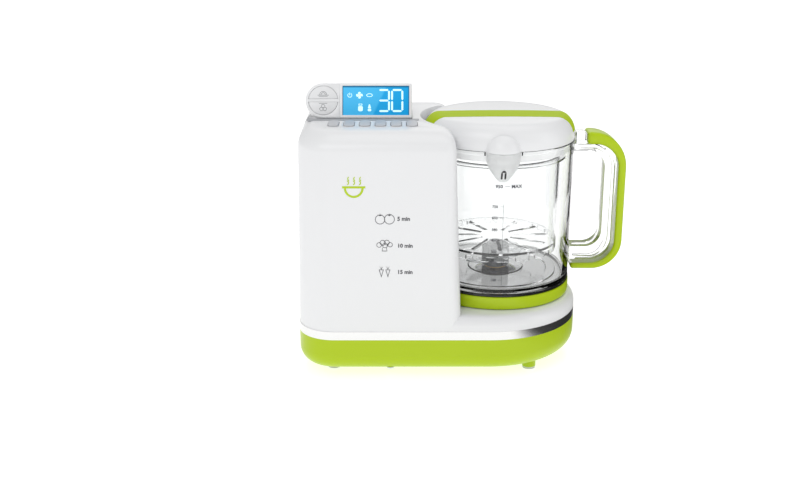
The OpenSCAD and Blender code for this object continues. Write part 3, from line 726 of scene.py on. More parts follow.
class MAKER_OT_lid(Piece, bpy.types.Operator):
    """White lid, its green band and the spout's cover"""

    bl_idname = "maker.lid"
    bl_label = "Lid"

    def profile(self, s, grow=0.0):
        """The lid's outside, from its lower edge to its crown."""
        radius = (LID[1].x - LID[0].x) / 2 + grow
        top = LID[1].z - 0.5 * MM + grow
        low = LID[0].z + 8.7 * MM
        wide, rise = s.lid_side, s.lid_rise
        points = [(radius - 0.4 * MM, low), (radius, low + 0.4 * MM)]
        points += [
            (radius - wide + wide * c, top - rise + rise * n) for c, n in arc((0, 0), 1, 0, 82, 14)
        ]
        crown = 0.5 * MM
        last = points[-1]
        for step in range(1, 9):
            share = step / 8
            points.append(
                (last[0] * (1 - share), last[1] + (top + crown - last[1]) * (1 - (1 - share) ** 2))
            )
        return points

    def make(self, scene):
        s = scene.maker_jug
        outside = self.profile(s)
        wall = s.lid_wall
        inside = [
            (max(r - wall, 0), z - (wall if r < outside[3][0] - wall else 0))
            for r, z in reversed(outside)
        ]
        shell = lathe("lid_skin", outside + inside[:-2] + [(outside[0][0] - wall, outside[0][1])], 128)
        zone_low = Vector((JUG_X - 0.08, BAND[0].y, BAND[0].z))
        zone_high = Vector((JUG_X + 0.08, BAND[1].y, LID[1].z + 0.01))
        band = lathe("lid_band_skin", self.profile(s, 0.15 * MM) + self.inner(s), 128)
        combine(band, block("keep", zone_low, zone_high), "INTERSECT")
        soften(band, 0.25 * MM, 2, 40)
        done(band, "green_soft", "lid", ("lid_band",))
        core = self.inner(s)
        cut = lathe("cut", [(r, z) for r, z in self.profile(s, 1 * MM)] + core, 128)
        combine(
            cut,
            block("keep", zone_low - Vector((0, 0.1 * MM, 0)), zone_high + Vector((0, 0.1 * MM, 0))),
            "INTERSECT",
        )
        combine(shell, cut)
        soften(shell, 0.3 * MM, 2, 40)
        done(shell, "white_gloss", "lid", ("lid_shell",))
        skirt_top = LID[0].z + 14 * MM
        outer = (LID[1].x - LID[0].x) / 2 - 4.2 * MM
        skirt = lathe(
            "lid_skirt",
            [(outer - 2.6 * MM, LID[0].z), (outer - 0.6 * MM, LID[0].z), (outer, LID[0].z + 0.6 * MM),
             (outer, skirt_top), (outer - 2.6 * MM, skirt_top)], 128,
        )
        # The skirt's glow is painted light, standing for light through the translucent rim in the lid's shade.
        done(skirt, "rim_white_glow", "lid", ())
        self.spout_cover(s)

    def inner(self, s):
        """The face that the band lies on, 1.1 mm under the lid's outside, from the crown down."""
        return [(max(r - 1.1 * MM, 0), z - (1.1 * MM if step else 0)) for step, (r, z) in
                reversed(list(enumerate(self.profile(s))))]

    def spout_cover(self, s):
        low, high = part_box("spout_cover")
        centre = Vector(((low.x + high.x) / 2, low.y + s.spout_radius, low.z))
        alone()
        bpy.ops.mesh.primitive_uv_sphere_add(
            segments=64, ring_count=32, radius=s.spout_radius, location=centre,
        )
        ball = bpy.context.object
        ball.name = "spout_hood"
        bpy.ops.object.transform_apply(location=True, rotation=True, scale=True)
        combine(
            ball, block("cut", centre - Vector((0.03, 0.03, 0.04)), centre + Vector((0.03, 0.03, 0))),
        )
        combine(
            ball,
            rod(
                "cut", (JUG_X, 0, low.z - 0.01), (JUG_X, 0, high.z + 0.03),
                (LID[1].x - LID[0].x) / 2 - 0.5 * MM, 128,
            ),
        )
        soften(ball, 0.5 * MM, 3, 50)
        done(ball, "white_gloss", "lid", ("spout_cover",))


class MAKER_OT_jug(Piece, bpy.types.Operator):
    """Clear jug, its collar and gasket"""

    bl_idname = "maker.jug"
    bl_label = "Jug"

    def make(self, scene):
        s = scene.maker_jug
        foot, rim = GASKET[1].z - 1.5 * MM, JUG[1].z
        r0 = (GASKET[1].x - GASKET[0].x) / 2 - 0.4 * MM
        r1 = (JUG[1].x - JUG[0].x) / 2
        step_z = rim - s.rim_step
        floor = GASKET[1].z + 1.2 * MM
        w, f = s.wall, s.foot_round
        outer = [(7.2 * MM, JUG[0].z), (r0 - 6 * MM, JUG[0].z), (r0 - 6 * MM, foot), (r0 - 0.5 * MM, foot),
                 (r0, foot + 0.5 * MM), (
                     r1 - 0.5 * MM, step_z - 0.4 * MM,
                 ), (r1, step_z), (r1, rim - 0.4 * MM),
                 (r1 - 0.4 * MM, rim)]
        inner = [(r1 - w + 0.4 * MM, rim), (r1 - w, rim - 0.4 * MM)]
        inner += arc((r0 - w - f, floor + f), f, 0, -90, 5)
        inner += [(52 * MM, floor), (51.4 * MM, floor + 0.7 * MM), (
            44 * MM, floor + 0.7 * MM,
        ), (43.4 * MM, floor),
                  (24 * MM, floor), (23.2 * MM, floor + 0.8 * MM), (14 * MM, floor + 0.8 * MM), (
                      7.2 * MM, floor + 0.6 * MM,
                  )]
        body = lathe("jug_glass", outer + inner, FINE)
        self.spout(s, rim)
        done(body, "clear_plastic", "jug", ("jug_body",), 25)
        r, z0, z1 = (COLLAR[1].x - COLLAR[0].x) / 2, COLLAR[0].z, COLLAR[1].z
        collar = lathe(
            "collar_ring",
            [(r - 3.4 * MM, z0), (r - 1.2 * MM, z0), (r - 0.3 * MM, z0 + 0.9 * MM), (r, z0 + 2.2 * MM),
             (r, z1 - 0.6 * MM), (r - 0.6 * MM, z1), (18 * MM, z1), (18 * MM, z1 - 2.6 * MM), (
                 r - 3.4 * MM, z1 - 2.6 * MM,
             )],
            FINE,
        )
        done(collar, "green_gloss", "jug", ("jug_collar",))
        # The floor disc's glow is painted light against the shade inside the jug.
        disc = lathe("floor_disc", [(18 * MM, z1 + 0.02 * MM), (r - 3.2 * MM, z1 + 0.02 * MM), (
            r - 3.2 * MM, z1 + 0.5 * MM,
        ),
                                    (18 * MM, z1 + 0.5 * MM)], 96)
        done(disc, "floor_grey_glow", "jug", ())
        g, z0, z1 = (GASKET[1].x - GASKET[0].x) / 2, GASKET[0].z, foot
        ring = lathe(
            "gasket_ring",
            [
                (g - 2.4 * MM, z0 + 0.02 * MM), (g - 0.8 * MM, z0 + 0.02 * MM), (g, z0 + 0.8 * MM),
                (g, z1 - 0.9 * MM), (g - 0.6 * MM, z1 - 0.6 * MM), (g - 0.9 * MM, z1 - 0.02 * MM),
                (g - 2.4 * MM, z1 - 0.02 * MM),
            ],
            FINE,
        )
        done(ring, "black_gloss", "jug", ("jug_gasket",))

    def spout(self, s, rim):
        """The frosted beak under the rim, with two drip slots at its tip."""
        centre = Vector((JUG_X - 1.4 * MM, JUG[0].y + s.spout_radius, 0))
        tip = rim - 24 * MM
        beak = [
            (5.6, 0), (6.8, 0.5), (7.8, 2), (9.7, 6), (12.4, 11), (14.1, 16), (14.5, 20), (14.5, 24),
        ]
        outer = [(r * MM, tip + z * MM) for r, z in beak]
        inner = [(max(r - 1.8 * MM, 0.2 * MM), z + 2 * MM) for r, z in outer[:-1]]
        inner.append((s.spout_radius - 1.8 * MM, rim))
        shell = lathe("jug_spout", outer + inner[::-1], 96, (centre.x, centre.y))
        wall = (JUG[1].x - JUG[0].x) / 2
        combine(
            shell, rod("cut", (JUG_X, 0, tip - 0.01), (JUG_X, 0, rim + 0.01), wall + 0.1 * MM, FINE),
        )
        done(shell, "frosted", "jug", (), 30)
        # Black pieces: the two drip slots stand for openings, so their black is painted shade; the two ticks under
        # the rim and the point over the slots are dark marks.
        slots = []
        for side in (-1, 1):
            x = centre.x + side * 1.4 * MM - 0.7 * MM
            low, high = (centre.y - 8.6 * MM, tip + 3.4 * MM), (centre.y - 11.5 * MM, tip + 9 * MM)
            face = [(x, *low), (x, *high), (x, high[0] + 2 * MM, high[1]), (x, low[0] + 2 * MM, low[1])]
            slots.append(slab("slot", face, (1.3 * MM, 0, 0)))
        reach = s.spout_radius + 0.1 * MM
        for side in (-1, 1):
            x, y = centre.x + side * (reach - 0.5 * MM), centre.y - 5.4 * MM
            corner = (min(x, x + side * MM), y, rim - 2.6 * MM)
            slots.append(block("tick", corner, (corner[0] + MM, y + 1.4 * MM, rim - 0.2 * MM)))
        tip_at, back = tip + 9.6 * MM, centre.y - 12.4 * MM
        point = [
            (centre.x - 1.9 * MM, back, tip_at), (centre.x + 1.9 * MM, back, tip_at),
            (centre.x, back, tip_at + 2.6 * MM),
        ]
        slots.append(slab("slot", point, (0, 1.6 * MM, 0)))
        # The black of the slots is painted shade in their openings.
        done(joined("spout_slots", slots), "black_plastic", "jug", ())


def handle_outline(x1, z0, z1, r0, r1, x0):
    """Square at the jug, round at the outer corners, on the XZ plane."""
    return rounded(x0, x1, z0, z1, [0, r0, r1, 0], 14)


class MAKER_OT_handle(Piece, bpy.types.Operator):
    """Green grip over a clear frame"""

    bl_idname = "maker.handle"
    bl_label = "Handle"

    def make(self, scene):
        s = scene.maker_jug
        half = (GRIP[1].y - GRIP[0].y) / 2
        wall_x = JUG_X + (JUG[1].x - JUG[0].x) / 2 + 0.4 * MM
        start_top = GRIP[1].x - 33.1 * MM
        frame_top, frame_low = LOOP[1].z - 9.5 * MM, LOOP[0].z
        outer = handle_outline(GRIP[1].x, GRIP[0].z, GRIP[1].z, 25 * MM, 30 * MM, wall_x)
        obj = slab("grip_skin", [(x, -half, z) for x, z in outer], (0, 2 * half, 0))
        inside = handle_outline(LOOP[1].x, frame_low, frame_top, 20 * MM, 20 * MM, wall_x - 0.02)
        combine(obj, slab("cut", [(x, -half * 2, z) for x, z in inside], (0, 4 * half, 0)))
        combine(
            obj,
            block(
                "cut", (wall_x - 0.01, -0.02, frame_top - 2 * MM), (start_top, 0.02, GRIP[1].z + 0.01),
            ),
        )
        soften(obj, s.grip_round, 5, 50)
        done(obj, "green_gloss", "jug", ("handle_grip",), 40)
        self.frame(wall_x, frame_top, frame_low)

    def frame(self, wall_x, top, low):
        """The clear rail between the grip and the finger gap, with its raised ridges."""
        half = (LOOP[1].y - LOOP[0].y) / 2
        gap_x, gap_low, gap_top = GRIP[1].x - 17.8 * MM, 92.1 * MM, 174.9 * MM
        shrink = -0.15 * MM
        outer = handle_outline(
            LOOP[1].x - shrink, low + shrink, top - shrink, 20 * MM, 20 * MM, wall_x - MM,
        )
        obj = slab("handle_glass", [(x, -half, z) for x, z in outer], (0, 2 * half, 0))
        hole = handle_outline(gap_x, gap_low, gap_top, 14 * MM, 14 * MM, wall_x - 0.02)
        combine(obj, slab("cut", [(x, -half * 2, z) for x, z in hole], (0, 4 * half, 0)))
        lug = block(
            "lug", (wall_x + 0.6 * MM, -7 * MM, top - MM), (GRIP[1].x - 33.5 * MM, 7 * MM, LOOP[1].z),
            0.8 * MM,
        )
        combine(obj, lug, "UNION")
        for side in (-1, 1):
            channel = handle_outline(
                LOOP[1].x - 3 * MM, low + 3 * MM, top - 3 * MM, 17.5 * MM, 17.5 * MM, wall_x + 4 * MM
            )
            inner = handle_outline(
                gap_x + 4.2 * MM, gap_low - 10 * MM, gap_top + 2.2 * MM, 16 * MM, 16 * MM,
                wall_x - 0.02,
            )
            y = side * half
            cut = slab("cut", [(x, y - 3 * MM, z) for x, z in channel], (0, 6 * MM, 0))
            combine(cut, slab("keep", [(x, y - 6 * MM, z) for x, z in inner], (0, 12 * MM, 0)))
            combine(obj, cut)
        combine(
            obj,
            rod(
                "cut", (JUG_X, 0, low - 0.01), (JUG_X, 0, LOOP[1].z + 0.02), wall_x - JUG_X - 0.3 * MM,
                FINE,
            ),
        )
        soften(obj, 0.7 * MM, 3, 50)
        done(obj, "clear_plastic", "jug", ("handle_frame",), 40)


class MAKER_OT_display(Piece, bpy.types.Operator):
    """The pop-up display: case, frame, window, digits and its two buttons"""

    bl_idname = "maker.display"
    bl_label = "Display"

    def outline(self, inset, z):
        """The display's outline lying flat, round at its left end."""
        x0, x1, y0, y1 = self.x0 + inset, self.x1 - inset, self.y0 + inset, self.y1 - inset
        radius = (y1 - y0) / 2
        corner = 1.2 * MM
        points = [(x1 - corner, y0), *arc((x1 - corner, y0 + corner), corner, -90, 0, 4)]
        points += arc((x1 - corner, y1 - corner), corner, 0, 90, 4)
        points += arc((x0 + radius, (y0 + y1) / 2), radius - 1e-5, 90, 270, 32)
        return [(x, y, z) for x, y in points[1:]]

    def make(self, scene):
        case_low, case_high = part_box("pod_bezel")
        self.x0, self.x1 = case_low.x, case_high.x
        self.y0 = HINGE.y + 3 * MM
        self.y1 = self.y0 + 29 * MM
        self.top = TOWER[1].z
        self.cx, self.cy = self.x0 + 14.5 * MM, (self.y0 + self.y1) / 2
        self.case()
        self.face()
        self.window()
        self.buttons()

    def case(self):
        low = self.top - 11.5 * MM
        body = slab("display_case", self.outline(0, low), (0, 0, 9.2 * MM))
        soften(body, 1.6 * MM, 4, 60)
        barrel = rod(
            "barrel", (self.cx, HINGE.y, HINGE.z), (self.x1 - 3.9 * MM, HINGE.y, HINGE.z), 3.6 * MM, 48,
        )
        soften(barrel, 0.4 * MM, 2, 60)
        web = block(
            "web", (self.cx, HINGE.y, HINGE.z - 1.5 * MM),
            (self.x1 - 3.9 * MM, self.y0 + 2 * MM, HINGE.z + 1.5 * MM),
        )
        obj = joined("display_case", [body, barrel, web])
        done(swung(obj), "white_gloss", "display", ("pod_case",))

    def face(self):
        """The front frame, with its window, its button well and a seam between them."""
        top = self.top
        obj = slab("display_frame", self.outline(0, top - 2.2 * MM), (0, 0, 2.2 * MM))
        soften(obj, 0.9 * MM, 4, 60)
        low, high = self.window_box()
        combine(obj, block("cut", (low[0], low[1], top - 9 * MM), (high[0], high[1], top + 9 * MM)))
        well = rod(
            "cut", (self.cx, self.cy, top - 9 * MM), (self.cx, self.cy, top + 9 * MM), 12.2 * MM, 96,
        )
        combine(well, block("bar", (self.cx - 20 * MM, self.cy - 1.2 * MM, top - 20 * MM),
                            (self.cx + 20 * MM, self.cy + 1.2 * MM, top + 20 * MM)))
        combine(obj, well)
        seam_x = low[0] - 2.4 * MM
        combine(
            obj,
            block(
                "cut", (seam_x, self.y0 - MM, top - 0.35 * MM),
                (seam_x + 0.35 * MM, self.y1 + MM, top + MM),
            ),
        )
        soften(obj, 0.25 * MM, 2, 50)
        done(swung(obj), "white_gloss", "display", ("pod_bezel",))

    def window_box(self):
        low_x = self.x0 + 30.2 * MM
        return (low_x, self.cy - 12.25 * MM), (self.x1 - 2.2 * MM, self.cy + 12.25 * MM)

    def window(self):
        """The blue window, with lit digits and icons just under its face."""
        low, high = self.window_box()
        top = self.top
        gap = 0.05 * MM
        glass = block(
            "display_window", (low[0] + gap, low[1] + gap, top - 3.4 * MM),
            (high[0] - gap, high[1] - gap, top - 0.7 * MM), 0.15 * MM, 2,
        )
        done(swung(glass), "lcd_blue", "display", ("lcd_panel",))
        level = top - 0.7 * MM
        wide, tall = high[0] - low[0], high[1] - low[1]

        def at(u, v):
            return low[0] + u * wide, low[1] + v * tall

        parts = []
        for place, segments in ((0.62, "abgcd"), (0.82, "abcdef")):
            parts += self.digit(at(place, 0.5), 8.4 * MM, 17.5 * MM, segments, level)
        parts += self.icons(at, level)
        done(swung(joined("display_digits", parts)), "lit", "display", ())

    def digit(self, centre, wide, tall, segments, level):
        """One seven-segment figure, each bar with pointed ends."""
        bar, gap = 1.5 * MM, 0.4 * MM
        x, y = centre
        w, h = wide / 2, tall / 4
        places = {
            "a": (0, 2 * h, 0), "g": (0, 0, 0), "d": (0, -2 * h, 0),
            "b": (w, h, 1), "c": (w, -h, 1), "f": (-w, h, 1), "e": (-w, -h, 1),
        }
        made = []
        for key in segments:
            dx, dy, upright = places[key]
            half = (h if upright else w) - gap
            b = bar / 2
            pts = [
                (-half, 0), (-half + b, -b), (half - b, -b), (half, 0), (half - b, b), (-half + b, b),
            ]
            if upright:
                pts = [(-py, px) for px, py in pts]
            made.append(plate("bar", [(x + dx + px, y + dy + py) for px, py in pts], level, INK))
        return made

    def icons(self, at, level):
        """Plain signs: power, fan, cloud, jar and bottle."""
        made = []
        x, y = at(0.11, 0.68)
        ring = list(arc((x, y), 1.9 * MM, 125, 415, 20)) + list(arc((x, y), 1.45 * MM, 415, 125, 20))
        made.append(plate("power", ring, level, INK))
        made.append(
            block("power", (x - 0.25 * MM, y, level), (x + 0.25 * MM, y + 2.1 * MM, level + INK))
        )
        x, y = at(0.255, 0.68)
        for turn in range(4):
            a = turn * 90
            blade = [(x, y)] + list(arc((
                x + 1.5 * MM * math.cos(math.radians(a)), y + 1.5 * MM * math.sin(math.radians(a)),
            ),
                                        1.25 * MM, a - 60, a + 120, 8))
            made.append(plate("fan", blade, level, INK))
        x, y = at(0.405, 0.68)
        outer, inner = ([(x + wide * c, y + tall * n) for c, n in list(arc((0, 0), 1, 0, 360, 24))[:-1]]
                        for wide, tall in ((2.6 * MM, 1.5 * MM), (2.1 * MM, 1.0 * MM)))
        shape = plate("cloud", outer, level, INK)
        made.append(combine(shape, plate("cut", inner, level - MM, 2 * MM)))
        x, y = at(0.27, 0.26)
        jar = rounded(
            x - 1.9 * MM, x + 1.9 * MM, y - 3 * MM, y + 1.2 * MM,
            [1.3 * MM, 1.3 * MM, 1.0 * MM, 1.0 * MM], 5,
        )
        made.append(plate("jar", jar, level, INK))
        neck = block(
            "neck", (x - 1.5 * MM, y + 1.6 * MM, level), (x + 1.5 * MM, y + 3.2 * MM, level + INK),
        )
        made.append(
            combine(
                neck,
                block(
                    "cut", (x - 1.0 * MM, y + 1.9 * MM, level - MM),
                    (x + 1.0 * MM, y + 2.8 * MM, level + MM),
                ),
            )
        )
        x, y = at(0.405, 0.26)
        bottle = rounded(x - 1.4 * MM, x + 1.4 * MM, y - 3 * MM, y - 0.9 * MM, [0.9 * MM] * 4, 4)
        made.append(plate("bottle", bottle, level, INK))
        teat = around(
            x, y, [(-1.3, -0.5), (1.3, -0.5), (0.8, 1.2), (0.35, 2.8), (-0.35, 2.8), (-0.8, 1.2)],
        )
        made.append(plate("teat", teat, level, INK))
        return made

    def buttons(self):
        """Two half-round buttons, each with a plain sign on it."""
        top = self.top
        for side, name in ((1, "upper_button"), (-1, "lower_button")):
            radius = 11.95 * MM
            start = math.degrees(math.asin(1.35 * MM / radius))
            span = (start, 180 - start) if side > 0 else (180 + start, 360 - start)
            outline = list(arc((self.cx, self.cy), radius, *span, 32))
            obj = plate(name + "_cap", outline, top - 3 * MM, 3.3 * MM)
            soften(obj, 0.45 * MM, 3, 60)
            done(swung(obj), "white_satin", name, (name,))
            sign = self.sign(side, top + 0.3 * MM)
            done(swung(sign), "line_grey", name, ())

    def sign(self, side, level):
        """A steaming pot for the upper button and a blade for the lower one."""
        x, y = self.cx, self.cy + side * 5.6 * MM
        lift = (0, 0, SIGN)
        parts = []
        if side > 0:
            for radius in (1.9, 3.0):
                ring = list(arc((x, y - 1 * MM), radius * MM, 0, 180, 12))
                ring += list(arc((x, y - 1 * MM), (radius - 0.38) * MM, 180, 0, 12))
                parts.append(slab("pot", [(px, py, level) for px, py in ring], lift))
            parts.append(
                block(
                    "lip", (x - 4.6 * MM, y - 1.55 * MM, level),
                    (x + 4.6 * MM, y - 1.15 * MM, level + SIGN),
                )
            )
            parts.append(
                block(
                    "lip", (x - 3.6 * MM, y - 2.5 * MM, level),
                    (x + 3.6 * MM, y - 2.15 * MM, level + SIGN),
                )
            )
        else:
            for turn in range(3):
                a = 90 + turn * 120
                centre = (
                    x + 1.6 * MM * math.cos(math.radians(a)),
                    y - 0.8 * MM + 1.6 * MM * math.sin(math.radians(a)),
                )
                ring = list(arc(centre, 1.6 * MM, 0, 360, 20))[:-1]
                shape = slab("blade", [(px, py, level) for px, py in ring], lift)
                hole = list(arc(centre, 1.25 * MM, 0, 360, 20))[:-1]
                parts.append(combine(shape, plate("cut", hole, level - MM, 2 * MM)))
            parts.append(
                block(
                    "line", (x - 3.4 * MM, y + 2.9 * MM, level),
                    (x + 3.4 * MM, y + 3.25 * MM, level + SIGN),
                )
            )
        return joined("upper_sign" if side > 0 else "lower_sign", parts)


class MAKER_OT_keys(Piece, bpy.types.Operator):
    """Six soft keys"""

    bl_idname = "maker.keys"
    bl_label = "Soft keys"

    def make(self, scene):
        for name in KEYS:
            low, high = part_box(name)
            x, y = (low.x + high.x) / 2, (low.y + high.y) / 2
            half_x, half_y = 4.2 * MM, 11 * MM
            outline = rounded(x - half_x, x + half_x, y - half_y, y + half_y, [half_x - 1e-5] * 4, 8)
            obj = plate(name + "_cap", outline, high.z - 3.4 * MM, 3.4 * MM)
            soften(obj, 0.7 * MM, 4, 60)
            done(obj, "key_grey", name, (name,), 40)


class MAKER_OT_key_bed(Piece, bpy.types.Operator):
    """The grey strip behind the soft keys: partly a strip that the keys sit on, partly painted shade of the
    display over it
    """

    bl_idname = "maker.key_bed"
    bl_label = "Key bed"

    def make(self, scene):
        boxes = [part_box(name) for name in KEYS]
        x0, x1 = POCKET[0].x + 3.5 * MM, max(box[1].x for box in boxes) + 0.5 * MM
        y0, y1, top = max(box[1].y for box in boxes) - 0.4 * MM, POCKET[0].y - 0.2 * MM, TOWER[1].z
        outline = rounded(x0, x1, y0, y1, [2.5 * MM, 2.5 * MM, 0.4 * MM, 0.4 * MM], 5)
        # Its grey is partly the strip's own colour and partly painted shade under the display.
        bed = plate("key_bed", outline, top - 0.6 * MM, 0.75 * MM)
        soften(bed, 0.12 * MM, 2, 60)
        done(bed, "grey_satin", "housing", ())


class MAKER_OT_blades(Piece, bpy.types.Operator):
    """Grey hub and steel blades"""

    bl_idname = "maker.blades"
    bl_label = "Blades"

    def make(self, scene):
        low, high = HUB
        r = (high.x - low.x) / 2
        obj = lathe(
            "hub_skin",
            [(3.2 * MM, low.z), (r - 0.6 * MM, low.z), (r, low.z + 0.6 * MM), (r, high.z - 2.6 * MM),
             (r - 0.5 * MM, high.z - 1.7 * MM), (r - 2 * MM, high.z - 1.4 * MM), (
                 r - 2.4 * MM, high.z - 0.4 * MM,
             ),
             (r - 3 * MM, high.z), (3.2 * MM, high.z)], 96,
        )
        for turn in range(12):
            a = TAU * turn / 12
            x, y = JUG_X + (r + 0.3 * MM) * math.cos(a), (r + 0.3 * MM) * math.sin(a)
            combine(obj, rod("cut", (x, y, low.z + 2 * MM), (x, y, high.z - 4 * MM), 0.8 * MM, 12))
        cap = rod("plug", (JUG_X, 0, low.z + MM), (JUG_X, 0, high.z - 0.3 * MM), 3.2 * MM, 32)
        obj = joined("hub_skin", [obj, cap])
        done(obj, "hub_grey", "blades", ("blade_hub",))
        for node, reach, lift in (("lower_blades", 30, 1), ("upper_blades", 25, -1)):
            self.pair(node, reach * MM, lift)

    def pair(self, node, reach, lift):
        """Two swept blades with ground edges, their tips bent up or down."""
        low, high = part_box(node)
        z, thick = (low.z + high.z) / 2, 1.3 * MM
        made = []
        for side in (0, 180):
            outline = [(9 * MM, -6 * MM), (12 * MM, -6.4 * MM)]
            outline += [
                (reach * (0.45 + 0.55 * t), -6.4 * MM + 9 * MM * t * t)
                for t in (0.2, 0.4, 0.6, 0.8, 1.0)
            ]
            outline += [
                (reach * 0.93, 5.4 * MM), (reach * 0.7, 6.2 * MM), (12 * MM, 6.2 * MM),
                (9 * MM, 6 * MM),
            ]
            obj = slab("blade", [(JUG_X + px, py, z - 12 * MM) for px, py in outline], (0, 0, 24 * MM))
            bend, end = JUG_X + 14 * MM, JUG_X + reach + MM
            tip = z + lift * (end - bend) * 0.22
            side_view = [(JUG_X + 8 * MM, z), (bend, z), (end, tip)]
            sheet = [(x, -8 * MM, h - thick / 2) for x, h in side_view]
            sheet += [(x, -8 * MM, h + thick / 2) for x, h in reversed(side_view)]
            combine(obj, slab("sheet", sheet, (0, 16 * MM, 0)), "INTERSECT")
            soften(obj, 0.3 * MM, 2, 50)
            obj.matrix_world = (
                Matrix.Translation((JUG_X, 0, 0)) @ Matrix.Rotation(
                    math.radians(side + (25 if lift > 0 else 100)), 4, "Z",
                )
                @ Matrix.Translation((-JUG_X, 0, 0))
            )
            alone(obj)
            bpy.ops.object.transform_apply(location=True, rotation=True, scale=True)
            made.append(obj)
        done(joined(node + "_steel", made), "steel", "blades", (node,))


class MAKER_OT_prints(Piece, bpy.types.Operator):
    """Printed signs and numbers on the tower and the jug"""

    bl_idname = "maker.prints"
    bl_label = "Prints"

    def flat(self, name, outline, y, thick=INK):
        return slab(name, [(x, y, z) for x, z in outline], (0, -thick, 0))

    def ring(self, x, z, outer, inner, y, start=0, end=360):
        points = list(arc((x, z), outer, start, end, 24))
        if end - start >= 360:
            shape = self.flat("ring", points[:-1], y)
            hole = list(arc((x, z), inner, 0, 360, 24))[:-1]
            return combine(shape, slab("cut", [(px, y + MM, pz) for px, pz in hole], (0, -2 * MM, 0)))
        points += list(arc((x, z), inner, end, start, 24))
        return self.flat("arc", points, y)

    def bar(self, x0, x1, z0, z1, y):
        return self.flat("bar", [(x0, z0), (x1, z0), (x1, z1), (x0, z1)], y)

    def words(self, text, x, y, z, size):
        """Upright lettering facing the front."""
        alone()
        bpy.ops.object.text_add(location=(0, 0, 0))
        obj = bpy.context.object
        obj.data.body = text
        obj.data.size = size
        obj.data.extrude = 0.05 * MM
        obj.data.resolution_u = 3
        obj.data.offset = 0.035 * size
        bpy.ops.object.convert(target="MESH")
        obj = bpy.context.object
        obj.matrix_world = Matrix.Translation((x, y, z)) @ Matrix.Rotation(math.radians(90), 4, "X")
        bpy.ops.object.transform_apply(location=True, rotation=True, scale=True)
        return obj

    def make(self, scene):
        s = scene.maker_housing
        y = TOWER[0].y + s.skin_gap
        left = TOWER[0].x
        self.emblem(left + 47 * MM, 160 * MM, y)
        rows = ((136.6, 5, self.tomatoes), (114.6, 10, self.broccoli), (92.8, 15, self.carrot))
        parts = []
        for z, minutes, sign in rows:
            parts += sign(left + 70.6 * MM, z * MM, y)
            parts.append(
                self.words(f"{minutes} min", left + 80.6 * MM, y - 0.05 * MM, (z - 1.5) * MM, 4.4 * MM)
            )
        done(joined("tower_signs", parts), "print_grey", "housing")
        self.scale()

    def emblem(self, x, z, y):
        """A made-up green sign: a bowl with three wisps of steam."""
        parts = [
            self.ring(x, z + 1 * MM, 7.6 * MM, 5.9 * MM, y, 180, 360),
            self.bar(x - 9 * MM, x + 9 * MM, z + 1 * MM, z + 2.7 * MM, y),
        ]
        for step in (-1, 0, 1):
            cx = x + step * 4.6 * MM
            parts.append(self.ring(cx - 0.9 * MM, z + 5.4 * MM, 2.0 * MM, 1.2 * MM, y, -75, 75))
            parts.append(self.ring(cx + 1.7 * MM, z + 8.6 * MM, 2.0 * MM, 1.2 * MM, y, 120, 250))
        done(joined("tower_emblem", parts), "print_green", "housing")

    def tomatoes(self, x, z, y):
        parts = [
            self.ring(x - 3.4 * MM, z - 0.6 * MM, 3.9 * MM, 3.45 * MM, y),
            self.ring(x + 3.9 * MM, z - 0.4 * MM, 4.1 * MM, 3.65 * MM, y),
        ]
        for cx in (x - 3.4 * MM, x + 3.9 * MM):
            for a in (40, 90, 140):
                c, n = math.cos(math.radians(a)), math.sin(math.radians(a))
                tip = (cx + 2.6 * MM * c, z + 2.4 * MM + 2.0 * MM * n)
                parts.append(
                    self.flat(
                        "leaf", [(cx - 0.5 * MM, z + 2.3 * MM), (cx + 0.5 * MM, z + 2.3 * MM), tip], y,
                    )
                )
        return parts

    def broccoli(self, x, z, y):
        parts = []
        for dx, dz, r in (
            (-4.2, 0.6, 2.1), (-1.4, 2.4, 2.3), (1.8, 2.6, 2.2), (4.4, 0.8, 2.0), (0.4, 0.2, 2.1),
        ):
            parts.append(self.ring(x + dx * MM, z + dz * MM, r * MM, (r - 0.4) * MM, y))
        parts.append(
            self.flat(
                "stalk", around(x, z, [(-1.8, -4.6), (1.6, -4.6), (1.2, -4.15), (-1.4, -4.15)]), y,
            )
        )
        for dx in (-1, 1):
            side = [(dx * 1.7, -4.6), (dx * 2.1, -4.6), (dx * 1.8, -1.6), (dx * 1.45, -1.6)]
            parts.append(self.flat("stalk", around(x, z, side), y))
        return parts

    def carrot(self, x, z, y):
        parts = []
        for dx in (-2.6, 2.6):
            cx = x + dx * MM
            shape = self.flat("root", around(cx, z, [(-1.9, 2), (0, -4.6), (1.9, 2)]), y)
            inner = around(cx, z, [(-1.35, 1.6), (0, -3.1), (1.35, 1.6)])
            parts.append(
                combine(shape, slab("cut", [(px, y + MM, pz) for px, pz in inner], (0, -2 * MM, 0)))
            )
            for lean in (-1.4, 0, 1.4):
                parts.append(
                    self.flat("leaf", around(cx, z, [(-0.2, 2.2), (0.2, 2.2), (lean, 4.8)]), y)
                )
        return parts

    def scale(self):
        """The jug's measuring marks, wrapped round its wall."""
        parts = [
            self.words("950", JUG_X - 7.2 * MM, 0, 157 * MM, 3.9 * MM),
            self.words("MAX", JUG_X + 5.4 * MM, 0, 157 * MM, 3.9 * MM),
        ]
        parts.append(self.bar(JUG_X + 0.2 * MM, JUG_X + 4.4 * MM, 158.2 * MM, 158.5 * MM, 0))
        marks = [
            (141.8, "750"), (132.6, "650"), (122.7, "550"), (114.0, "450"), (104.3, "350"),
            (95.2, "250"), (87.1, "150"), (80.3, "100"),
        ]
        for z, label in marks:
            parts.append(self.words(label, JUG_X - 9.4 * MM, 0, (z - 1.1) * MM, 3.1 * MM))
            parts.append(
                self.bar(JUG_X - 3.2 * MM, JUG_X - 0.6 * MM, (z - 0.12) * MM, (z + 0.12) * MM, 0)
            )
        parts.append(self.bar(JUG_X - 0.6 * MM, JUG_X - 0.35 * MM, 76 * MM, 144 * MM, 0))
        obj = joined("jug_marks", [self.wrapped(part) for part in parts])
        done(obj, "print_grey", "jug")

